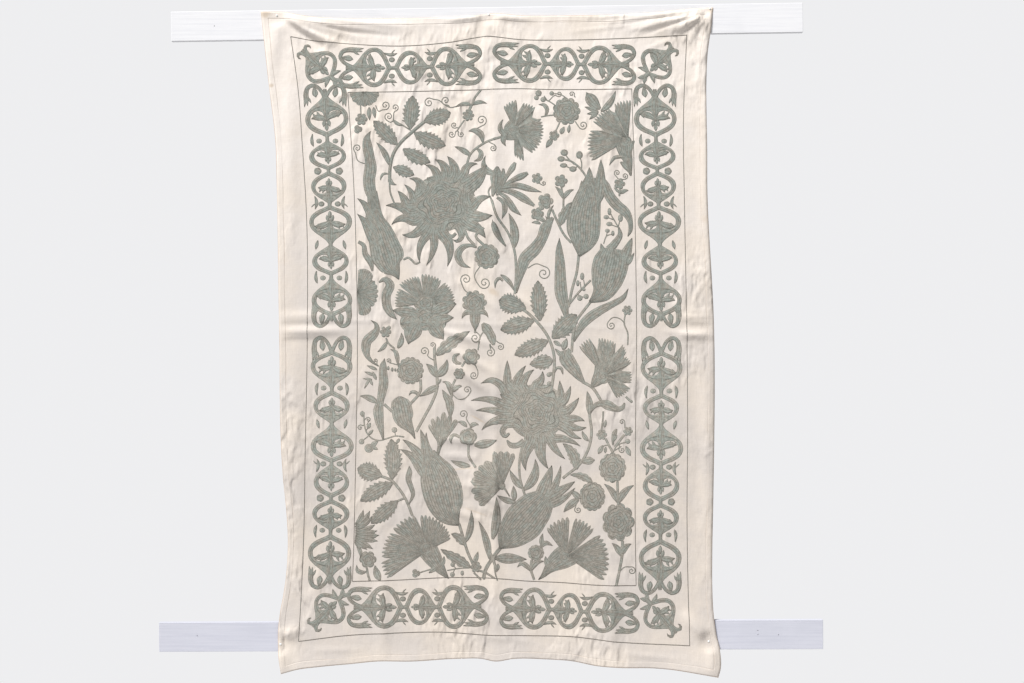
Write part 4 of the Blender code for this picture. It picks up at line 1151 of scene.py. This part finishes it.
# Mesh of a group: each patch's chart places put on the cloth, its faces turned outwards, all joined as arrays
def makeStitching(name, group, front=True):
    places, quadRows, quadUvs, triRows, triUvs, first = [], [], [], [], [], 0
    for points, lift, along, rowNumber, rim, centre in stitching["groups"][group]:
        tall, wide = points.shape[:2]
        number = first + np.arange(tall * wide).reshape(tall, wide)
        chartPoints, chartLift, chartRim = points.reshape(-1, 2), lift.reshape(-1), rim.reshape(-1)
        if centre is not None:
            number = np.concatenate([number, number[:, :1]], 1)
        uv = np.stack([np.broadcast_to(along, number.shape), np.broadcast_to(rowNumber, number.shape)], -1)
        quadRows.append(cellCorners(number).reshape(-1, 4))
        quadUvs.append(cellCorners(uv).reshape(-1, 4, 2))
        if centre is not None:
            hub = first + tall * wide
            chartPoints = np.concatenate([chartPoints, [centre[0]]])
            chartLift = np.concatenate([chartLift, [centre[1]]])
            chartRim = np.concatenate([chartRim, [centre[2]]])
            middle = np.stack([(uv[0, :-1, 0] + uv[0, 1:, 0]) / 2, np.zeros(wide)], -1)
            triRows.append(np.stack([np.full(wide, hub), number[0, :-1], number[0, 1:]], -1))
            triUvs.append(np.stack([middle, uv[0, :-1], uv[0, 1:]], 1))
        places.append(np.concatenate([chartPoints, chartLift[:, None], chartRim[:, None]], 1))
        first += len(chartPoints)
    places = np.concatenate(places)
    quads, quadUv = np.concatenate(quadRows), np.concatenate(quadUvs)
    tris = np.concatenate(triRows) if triRows else np.zeros((0, 3), int)
    triUv = np.concatenate(triUvs) if triUvs else np.zeros((0, 3, 2))
    x = (places[:, 0] - chart["middle"][0]) * chart["unit"]
    z = -(places[:, 1] - chart["middle"][1]) * chart["unit"]
    y = clothFront(x, z) - places[:, 2] if front else clothBack(x, z) + places[:, 2] * 0.6
    facing = 1 if front else -1

    def turned(faces, uvs):
        ax, az = x[faces], z[faces]
        area = (ax * np.roll(az, -1, 1) - np.roll(ax, -1, 1) * az).sum(1) * facing
        keep = np.abs(area) > 1e-12
        faces, uvs, area = faces[keep], uvs[keep], area[keep]
        flip = area < 0
        faces[flip] = faces[flip][:, ::-1]
        uvs[flip] = uvs[flip][:, ::-1]
        return faces, uvs

    quads, quadUv = turned(quads, quadUv)
    tris, triUv = turned(tris, triUv) if len(tris) else (tris, triUv)
    piece = meshOf(name, np.stack([x, y, z], -1), quads, quadUv, tris, triUv, rim=places[:, 3])
    print(name, "faces:", len(piece.data.polygons), "triangles:", 2 * len(quads) + len(tris))
    return piece


# The face of the stitching in fine grids, then its reverse in coarse ones
for fine in (True, False):
    for name, draw in (("field", field), ("border", border), ("lines", borderLines)):
        stitching["group"], stitching["fine"] = name if fine else "reverse_" + name, fine
        draw()
fillPieces = [
    makeStitching("stitched_field_upper", "field_upper"),
    makeStitching("stitched_field_lower", "field_lower"),
    makeStitching("stitched_border", "border"),
]
linePiece = makeStitching("stitched_lines", "lines")
stitching["groups"]["reverse"] = [
    patch for name, rows in stitching["groups"].items() if name.startswith("reverse") for patch in rows
]
reversePiece = makeStitching("stitched_reverse", "reverse", front=False)
stitchPieces = fillPieces + [linePiece, reversePiece]
print("stitching done:", len(stitchPieces), "pieces")


# Node helpers: addNode feeds each input a value or another node's output
def addNode(tree, kind, inputs=None, **settings):
    made = tree.nodes.new("ShaderNode" + kind)
    for name, value in settings.items():
        setattr(made, name, value)
    for socket, value in (inputs or {}).items():
        if isinstance(value, bpy.types.NodeSocket):
            tree.links.new(value, made.inputs[socket])
        else:
            made.inputs[socket].default_value = value
    return made


# One math node: the operation on the values
def maths(tree, operation, *values):
    return addNode(tree, "Math", dict(enumerate(values)), operation=operation).outputs[0]


# Smooth step from outLow to outHigh as the value goes from low to high
def ramp(tree, value, low, high, outLow=0.0, outHigh=1.0):
    settings = {"Value": value, "From Min": low, "From Max": high, "To Min": outLow, "To Max": outHigh}
    return addNode(tree, "MapRange", settings, interpolation_type="SMOOTHSTEP").outputs[0]


# Two colours mixed by the factor
def blendColours(tree, factor, first, second, how="MIX"):
    made = addNode(tree, "Mix", {0: factor, 6: first, 7: second}, data_type="RGBA", blend_type=how)
    return made.outputs[2]


# A colour times a shade, the same in its three channels
def shaded(tree, colour, shade):
    grey = addNode(tree, "CombineXYZ", {0: shade, 1: shade, 2: shade}).outputs[0]
    return blendColours(tree, 1.0, colour, grey, "MULTIPLY")


# Noise from 0 to 1
def cloudy(tree, vector, scale, detail=2.0, rough=0.5):
    made = addNode(tree, "TexNoise", {"Vector": vector, "Scale": scale, "Detail": detail, "Roughness": rough})
    return made.outputs[0]


# A vector times a scale, axis by axis
def scaledVector(tree, vector, scale):
    return addNode(tree, "VectorMath", {0: vector, 1: scale}, operation="MULTIPLY").outputs[0]


# Paint-chart colour, 0 to 255 a channel, as linear light
def colourOf(red, green, blue):
    linear = [((c / 255 + 0.055) / 1.055) ** 2.4 for c in (red, green, blue)]
    return (*linear, 1.0)


# A material with its node tree and its shader
def newMaterial(name, roughness, sheen=0.0):
    made = bpy.data.materials.new(name)
    made.use_nodes = True
    shader = made.node_tree.nodes["Principled BSDF"]
    shader.inputs["Roughness"].default_value = roughness
    shader.inputs["Sheen Weight"].default_value = sheen
    shader.inputs["Specular IOR Level"].default_value = 0.25
    return made, made.node_tree, shader


# A bump of height times distance on the shader's normal
def bumpInto(tree, shader, height, distance, strength=1.0):
    made = addNode(tree, "Bump", {"Height": height, "Distance": distance, "Strength": strength})
    tree.links.new(made.outputs[0], shader.inputs["Normal"])


# Chain stitch: links of looped thread along every row, the rows side by side with painted shade in the hollow
# between them and between the links, tones that change from row to row, and at the rim a band of deeper tone,
# partly an outline row and partly painted shade where the raised stitching meets the cloth
# groove and dark: how strong the painted shade between rows and links is, and its tone
threadLooks = {
    "fill": {"green": (164, 169, 160), "brown": (174, 167, 155), "rim": (112, 109, 99), "rimWidth": 3.2,
             "link": 5.0, "groove": 0.66, "ground": 0.30, "dark": (74, 72, 64), "bump": 0.5 * mm},
    "line": {"green": (128, 126, 118), "brown": (122, 112, 102), "rim": (104, 98, 90), "rimWidth": 0.8,
             "link": 4.8, "groove": 0.15, "ground": 0.05, "dark": (74, 72, 64), "bump": 0.3 * mm},
    "reverse": {"green": (158, 165, 156), "brown": (170, 164, 152), "rim": (146, 142, 132), "rimWidth": 1.6,
                "link": 4.4, "groove": 0.35, "ground": 0.75, "dark": (74, 72, 64), "bump": 0.3 * mm},
}
# How the thread changes down the hanging: browner, less so outside the middle, then a little lighter, and
# toned down again at the foot, which is painted shade of the light falling off lower down. Each is from one
# place to another, in metres, then from one value to another
threadAgeAndShade = {
    "browner": (-0.72, -1.25),
    "middle": (0.36, 0.50, 1, 0.35),
    "lighter": (-0.85, -1.25, 1.0, 1.07),
    "darker": (-1.36, -1.62, 1.0, 0.80),
}


# Distance from a row's middle gives each row its crown, and a phase along it gives the links of the chain
def threadMaterial(name, look):
    made, tree, shader = newMaterial(name, 0.78, sheen=0.12)
    uv = addNode(tree, "UVMap", uv_map="UVMap").outputs[0]
    split = addNode(tree, "SeparateXYZ", {0: uv}).outputs
    along, row = split[0], split[1]
    rowId = maths(tree, "FLOOR", row)
    pairId = maths(tree, "FLOOR", maths(tree, "MULTIPLY", row, 0.5))
    fromMiddle = maths(tree, "ABSOLUTE", maths(tree, "SUBTRACT", maths(tree, "FRACT", row), 0.5))
    across = maths(tree, "MULTIPLY", fromMiddle, 2.0)
    rowSeed = addNode(tree, "TexWhiteNoise", {"W": rowId}, noise_dimensions="1D").outputs[0]
    bent = maths(tree, "MULTIPLY_ADD", across, 0.36, rowSeed)
    phase = maths(tree, "FRACT", maths(tree, "MULTIPLY_ADD", along, 1 / look["link"], bent))
    swell = maths(tree, "SINE", maths(tree, "MULTIPLY", phase, math.pi))
    crown = maths(tree, "SUBTRACT", 1.0, maths(tree, "POWER", across, 2.5))
    eye = maths(tree, "MULTIPLY", ramp(tree, across, 0.0, 0.45, 1, 0), swell)
    loop = maths(tree, "MULTIPLY", crown, maths(tree, "MULTIPLY_ADD", swell, 0.55, 0.45))
    loop = maths(tree, "SUBTRACT", loop, maths(tree, "MULTIPLY", eye, 0.35))
    place = addNode(tree, "TexCoord").outputs["Object"]
    fuzz = cloudy(tree, place, 1400, 2)
    height = maths(tree, "MULTIPLY_ADD", fuzz, 0.35, loop)
    rowVector = addNode(tree, "CombineXYZ",
                        {0: maths(tree, "MULTIPLY", along, 0.035), 1: maths(tree, "MULTIPLY", pairId, 3.71)})
    streak = cloudy(tree, rowVector.outputs[0], 1.0, 2)
    patchy = cloudy(tree, place, 9.0, 2)
    sides = addNode(tree, "SeparateXYZ", {0: place}).outputs
    low = ramp(tree, sides[2], *threadAgeAndShade["browner"])
    inner = ramp(tree, maths(tree, "ABSOLUTE", sides[0]), *threadAgeAndShade["middle"])
    aged = maths(tree, "MULTIPLY", low, inner)
    tone = maths(tree, "ADD", maths(tree, "MULTIPLY", aged, 0.45), ramp(tree, streak, 0.34, 0.66))
    tone = maths(tree, "MULTIPLY_ADD", patchy, 0.6, maths(tree, "SUBTRACT", tone, 0.38))
    toneClamp = addNode(tree, "Clamp", {0: tone}).outputs[0]
    colour = blendColours(tree, toneClamp, colourOf(*look["green"]), colourOf(*look["brown"]))
    shade = ramp(tree, cloudy(tree, rowVector.outputs[0], 2.3, 3), 0.30, 0.70, 0.80, 1.16)
    shade = maths(tree, "MULTIPLY", shade, ramp(tree, sides[2], *threadAgeAndShade["lighter"]))
    # Painted shade: the thread is toned down towards the foot
    shade = maths(tree, "MULTIPLY", shade, ramp(tree, sides[2], *threadAgeAndShade["darker"]))
    colour = shaded(tree, colour, shade)
    # The rim band: the rim colour near each patch's edge, partly an outline row and partly painted shade
    # where the raised stitching drops to the cloth
    rimDistance = addNode(tree, "Attribute", attribute_name="rim").outputs["Fac"]
    rimShadeShare = ramp(tree, rimDistance, 0.3, look["rimWidth"], 0.75, 0)
    colour = blendColours(tree, rimShadeShare, colour, colourOf(*look["rim"]))
    # Painted shade in the hollows between rows, stronger between each pair of rows
    groove = ramp(tree, across, 0.62, 1.0, 0, look["groove"] * 0.45)
    halfRow = maths(tree, "FRACT", maths(tree, "MULTIPLY", row, 0.5))
    pairSide = maths(tree, "MULTIPLY", maths(tree, "ABSOLUTE", maths(tree, "SUBTRACT", halfRow, 0.5)), 2.0)
    groove = maths(tree, "MAXIMUM", groove, ramp(tree, pairSide, 0.60, 0.96, 0, look["groove"]))
    # Painted shade in the dips between the links of the chain
    linkShade = maths(tree, "MULTIPLY", ramp(tree, swell, 0.0, 0.55, look["groove"], 0), 0.8)
    colour = blendColours(tree, maths(tree, "MAXIMUM", groove, linkShade), colour, colourOf(*look["dark"]))
    peeking = maths(tree, "MULTIPLY", ramp(tree, across, 0.70, 0.95),
                    ramp(tree, cloudy(tree, place, 150, 2), 0.50, 0.62))
    peeking = maths(tree, "MULTIPLY", peeking, look["ground"])
    colour = blendColours(tree, peeking, colour, colourOf(*cottonLook["upper"]))
    tree.links.new(colour, shader.inputs["Base Color"])
    bumpInto(tree, shader, height, look["bump"])
    return made


# Cotton: a plain weave of uneven threads both ways, slubs, small puckers, a hem seam along every edge, tan
# wear on the edges themselves, a few faint stained spots, thin lines of painted shade along creases, and
# painted shade that tones it down towards the bottom. Its UV is metres of flat cloth
cottonLook = {
    # upper to lower: the cream tones down the hanging, painted shade of the light falling off lower down
    "upper": (249, 239, 230),
    "lower": (209, 200, 192),
    "threadShade": 0.022,
    "edge": (196, 168, 142),
    "edgeWidth": 2.2 * mm,
    "hemWidth": 21 * mm,
    "seam": (206, 188, 170),
    "stain": (208, 188, 164),
    "mottle": (232, 218, 201),
    # Stained spots, and in the last three rows thin lines of painted shade along creases and the middle fold:
    # x, z of the middle in metres, half length, half width, slope in degrees, strength
    "stains": [(0.021, -0.864, 0.024, 0.014, 40, 0.55), (-0.712, 0.024, 0.026, 0.020, 0, 0.6),
               (-0.69, -0.205, 0.010, 0.008, 0, 0.6), (0.70, -0.63, 0.022, 0.018, 0, 0.25),
               (0.716, 0.036, 0.014, 0.012, 0, 0.5), (-0.028, -1.270, 0.036, 0.004, 28, 0.5),
               (-0.080, -1.428, 0.050, 0.004, -6, 0.45), (-0.034, -1.566, 0.050, 0.0035, 20, 0.4),
               (0.016, -0.250, 0.010, 0.16, 0, 0.10)],
}


# Weave and slubs are noise stretched along the cloth's two ways; hem, edge, stained spots and the painted
# crease shade are smooth steps of a distance
def cottonMaterial():
    look = cottonLook
    made, tree, shader = newMaterial("cream_cotton", 0.88, sheen=0.08)
    uv = addNode(tree, "UVMap", uv_map="UVMap").outputs[0]
    place = addNode(tree, "TexCoord").outputs["Object"]
    warp = cloudy(tree, scaledVector(tree, uv, (1050.0, 70.0, 1.0)), 1.0, 2, 0.6)
    weft = cloudy(tree, scaledVector(tree, uv, (70.0, 1050.0, 1.0)), 1.0, 2, 0.6)
    weave = maths(tree, "ADD", warp, weft)
    slub = cloudy(tree, scaledVector(tree, uv, (14.0, 420.0, 1.0)), 1.0, 3, 0.6)
    slubUp = cloudy(tree, scaledVector(tree, uv, (420.0, 14.0, 1.0)), 1.0, 3, 0.6)
    pucker = cloudy(tree, scaledVector(tree, place, (34.0, 34.0, 20.0)), 1.0, 3, 0.55)
    sides = addNode(tree, "SeparateXYZ", {0: place}).outputs
    # Painted shade: the cream tones down from the top to 1.5 m below it
    ground = blendColours(tree, ramp(tree, sides[2], 0.0, -1.5), colourOf(*look["upper"]),
                          colourOf(*look["lower"]))
    mottle = ramp(tree, cloudy(tree, place, 5.0, 4, 0.6), 0.35, 0.70, 0, 0.55)
    ground = blendColours(tree, mottle, ground, colourOf(*look["mottle"]))
    threads = ramp(tree, maths(tree, "ADD", slub, slubUp), 0.80, 1.25, 1 - look["threadShade"], 1.03)
    fine = ramp(tree, weave, 0.75, 1.25, 0.975, 1.02)
    ground = shaded(tree, ground, maths(tree, "MULTIPLY", threads, fine))
    flat = addNode(tree, "SeparateXYZ", {0: uv}).outputs
    fromSide = maths(tree, "MINIMUM", flat[0], maths(tree, "SUBTRACT", cloth["cutSize"][0], flat[0]))
    fromEnd = maths(tree, "MINIMUM", flat[1], maths(tree, "SUBTRACT", cloth["cutSize"][1], flat[1]))
    fromEdge = maths(tree, "MINIMUM", fromSide, fromEnd)
    wander = maths(tree, "MULTIPLY_ADD", cloudy(tree, place, 6.0, 2), 0.012, -0.006)
    pastSeam = maths(tree, "SUBTRACT", maths(tree, "ADD", fromEdge, wander), look["hemWidth"])
    seam = ramp(tree, maths(tree, "ABSOLUTE", pastSeam), 0.6 * mm, 2.2 * mm, 1, 0)
    broken = ramp(tree, cloudy(tree, place, 14.0, 3), 0.38, 0.60)
    seamShare = maths(tree, "MULTIPLY", seam, maths(tree, "MULTIPLY", broken, 0.35))
    ground = blendColours(tree, seamShare, ground, colourOf(*look["seam"]))
    worn = maths(tree, "MULTIPLY", ramp(tree, fromEdge, 0.2 * mm, look["edgeWidth"], 1, 0),
                 ramp(tree, cloudy(tree, place, 11.0, 3), 0.30, 0.60, 0.35, 1))
    ground = blendColours(tree, worn, ground, colourOf(*look["edge"]))
    blotchy = cloudy(tree, place, 60.0, 3)
    # Stained spots, and thin lines of painted shade along creases, all mixed towards one tan
    for markX, markZ, long, wide, slope, strength in look["stains"]:
        turned = {"Vector": place, "Location": (markX, 0, markZ), "Rotation": (0, math.radians(slope), 0),
                  "Scale": (long, 1000, wide)}
        local = addNode(tree, "Mapping", turned, vector_type="TEXTURE").outputs[0]
        away = addNode(tree, "VectorMath", {0: local}, operation="LENGTH").outputs["Value"]
        mask = ramp(tree, maths(tree, "MULTIPLY_ADD", blotchy, 0.9, away), 0.7, 1.6, strength, 0)
        ground = blendColours(tree, mask, ground, colourOf(*look["stain"]))
    tree.links.new(ground, shader.inputs["Base Color"])
    height = maths(tree, "MULTIPLY_ADD", weave, 0.10, maths(tree, "MULTIPLY", slub, 0.10))
    height = maths(tree, "MULTIPLY_ADD", pucker, 2.2, height)
    rumpled = cloudy(tree, scaledVector(tree, place, (10.0, 10.0, 5.0)), 1.0, 3, 0.55)
    crinkle = ramp(tree, maths(tree, "ABSOLUTE", maths(tree, "SUBTRACT", rumpled, 0.5)), 0.0, 0.12, 5.0, 0)
    crinkled = ramp(tree, cloudy(tree, place, 2.2, 2), 0.42, 0.66)
    height = maths(tree, "ADD", height, maths(tree, "MULTIPLY", crinkle, crinkled))
    hemStep = ramp(tree, fromEdge, look["hemWidth"] - 1 * mm, look["hemWidth"] + 1 * mm, 0.6, 0)
    height = maths(tree, "SUBTRACT", maths(tree, "ADD", height, hemStep), maths(tree, "MULTIPLY", seam, 0.4))
    bumpInto(tree, shader, height, 1.0 * mm, 0.9)
    return made


# Painted board: white paint with the grain showing through along x, faint brush marks and dull patches.
# The lower board is given a greyer tone: painted shade of the light falling off lower down
boardLook = {"paint": (250, 249, 250), "grain": (232, 232, 236), "dull": (232, 232, 234),
             "lower": (211, 212, 220)}


# Grain and brush marks are noise stretched along x
def boardMaterial():
    made, tree, shader = newMaterial("board_paint", 0.5)
    place = addNode(tree, "TexCoord").outputs["Object"]
    grain = cloudy(tree, scaledVector(tree, place, (5.0, 160.0, 160.0)), 1.0, 4, 0.65)
    brush = cloudy(tree, scaledVector(tree, place, (3.0, 420.0, 420.0)), 1.0, 2)
    dull = cloudy(tree, place, 7.0, 3)
    paint, grainTone, dullTone, lower = [colourOf(*tone) for tone in boardLook.values()]
    colour = blendColours(tree, ramp(tree, grain, 0.35, 0.75, 0, 0.6), paint, grainTone)
    colour = blendColours(tree, ramp(tree, dull, 0.45, 0.75, 0, 0.35), colour, dullTone)
    # Painted shade: the lower board is multiplied by the greyer tone
    level = addNode(tree, "SeparateXYZ", {0: place}).outputs[2]
    colour = blendColours(tree, ramp(tree, level, -0.8, -1.2, 0, 1), colour, lower, "MULTIPLY")
    tree.links.new(colour, shader.inputs["Base Color"])
    tree.links.new(ramp(tree, dull, 0.3, 0.7, 0.42, 0.62), shader.inputs["Roughness"])
    height = maths(tree, "MULTIPLY_ADD", grain, 0.6, maths(tree, "MULTIPLY", brush, 0.3))
    bumpInto(tree, shader, height, 0.5 * mm, 0.8)
    return made


# Nail: white enamel over a hammered head, with a few worn grey specks
nailLook = {"enamel": (240, 240, 238), "speck": (150, 146, 140)}


# The specks are the peaks of a fine noise
def nailMaterial():
    made, tree, shader = newMaterial("nail_enamel", 0.35)
    place = addNode(tree, "TexCoord").outputs["Object"]
    speck = ramp(tree, cloudy(tree, place, 700.0, 2), 0.62, 0.68)
    colour = blendColours(tree, speck, colourOf(*nailLook["enamel"]), colourOf(*nailLook["speck"]))
    tree.links.new(colour, shader.inputs["Base Color"])
    bumpInto(tree, shader, cloudy(tree, place, 420.0, 2), 0.2 * mm, 0.6)
    return made


sheetPiece.data.materials.append(cottonMaterial())
fillThread = threadMaterial("grey_green_chain_stitch", threadLooks["fill"])
for piece in fillPieces:
    piece.data.materials.append(fillThread)
linePiece.data.materials.append(threadMaterial("outline_stitch", threadLooks["line"]))
reversePiece.data.materials.append(threadMaterial("back_of_stitch", threadLooks["reverse"]))
boardPaint, nailEnamel = boardMaterial(), nailMaterial()
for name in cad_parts:
    if name != "suzani_cloth":
        for slot in bpy.data.objects[name].material_slots:
            slot.material = nailEnamel if name.startswith("nail") else boardPaint
print("materials done")

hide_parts("suzani_cloth")
for piece in [sheetPiece] + stitchPieces:
    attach(piece, "root")

# Floor, light and camera
studio = {
    "floorHeight": -2.66,
    "floorRadius": 1.9,
    "floorTone": (208, 208, 210),
    "pictureMiddle": (512, 341.5),        # on the chart
    "cameraDistance": 4.55,
    "lens": 50,
    "lightFrom": (-0.55, -0.52, 1.0),     # direction the light comes from
    "lightSoftness": 14,                  # degrees that the light spans
    "lightStrength": 4.55,
    "surround": 0.40,
    "backdrop": 0.87,
}


# Floor: one flat round face, far below the hanging
def makeFloor():
    angle = np.linspace(0, 2 * math.pi, 96, endpoint=False)
    away = studio["floorRadius"]
    places = np.stack([away * np.cos(angle), away * np.sin(angle), np.full(96, studio["floorHeight"])], -1)
    mesh = bpy.data.meshes.new("floor")
    mesh.from_pydata(places.tolist(), [], [list(range(96))])
    floor = bpy.data.objects.new("floor", mesh)
    bpy.context.scene.collection.objects.link(floor)
    made, _, shader = newMaterial("pale_floor", 0.9)
    shader.inputs["Base Color"].default_value = colourOf(*studio["floorTone"])
    mesh.materials.append(made)


# Light: one wide, soft sun
def makeLight():
    data = bpy.data.lights.new("key", "SUN")
    data.energy, data.angle = studio["lightStrength"], math.radians(studio["lightSoftness"])
    light = bpy.data.objects.new("key", data)
    bpy.context.scene.collection.objects.link(light)
    light.rotation_euler = Vector(studio["lightFrom"]).to_track_quat("Z", "Y").to_euler()


# Even pale surround: softer as light than as what the camera sees behind the hanging
def makeSurround():
    world = bpy.data.worlds.new("studio")
    bpy.context.scene.world = world
    world.use_nodes = True
    tree = world.node_tree
    light = tree.nodes["Background"]
    light.inputs["Color"].default_value = (0.97, 0.98, 1.0, 1)
    light.inputs["Strength"].default_value = studio["surround"]
    seen = addNode(tree, "Background", {"Color": (0.985, 0.985, 1.0, 1), "Strength": studio["backdrop"]})
    ray = addNode(tree, "LightPath").outputs["Is Camera Ray"]
    mixed = addNode(tree, "MixShader", {0: ray, 1: light.outputs[0], 2: seen.outputs[0]})
    tree.links.new(mixed.outputs[0], tree.nodes["World Output"].inputs["Surface"])


# Camera: level, straight in front of the picture's middle
def makeCamera():
    data = bpy.data.cameras.new("camera")
    data.lens, data.sensor_width = studio["lens"], 36
    camera = bpy.data.objects.new("camera", data)
    bpy.context.scene.collection.objects.link(camera)
    middleX = (studio["pictureMiddle"][0] - chart["middle"][0]) * chart["unit"]
    middleZ = -(studio["pictureMiddle"][1] - chart["middle"][1]) * chart["unit"]
    camera.location = (middleX, cloth["battenFace"] - studio["cameraDistance"], middleZ)
    camera.rotation_euler = (math.pi / 2, 0, 0)
    bpy.context.scene.camera = camera


makeFloor()
makeLight()
makeSurround()
makeCamera()
bpy.context.scene.view_settings.view_transform = "Standard"
print("stage done")
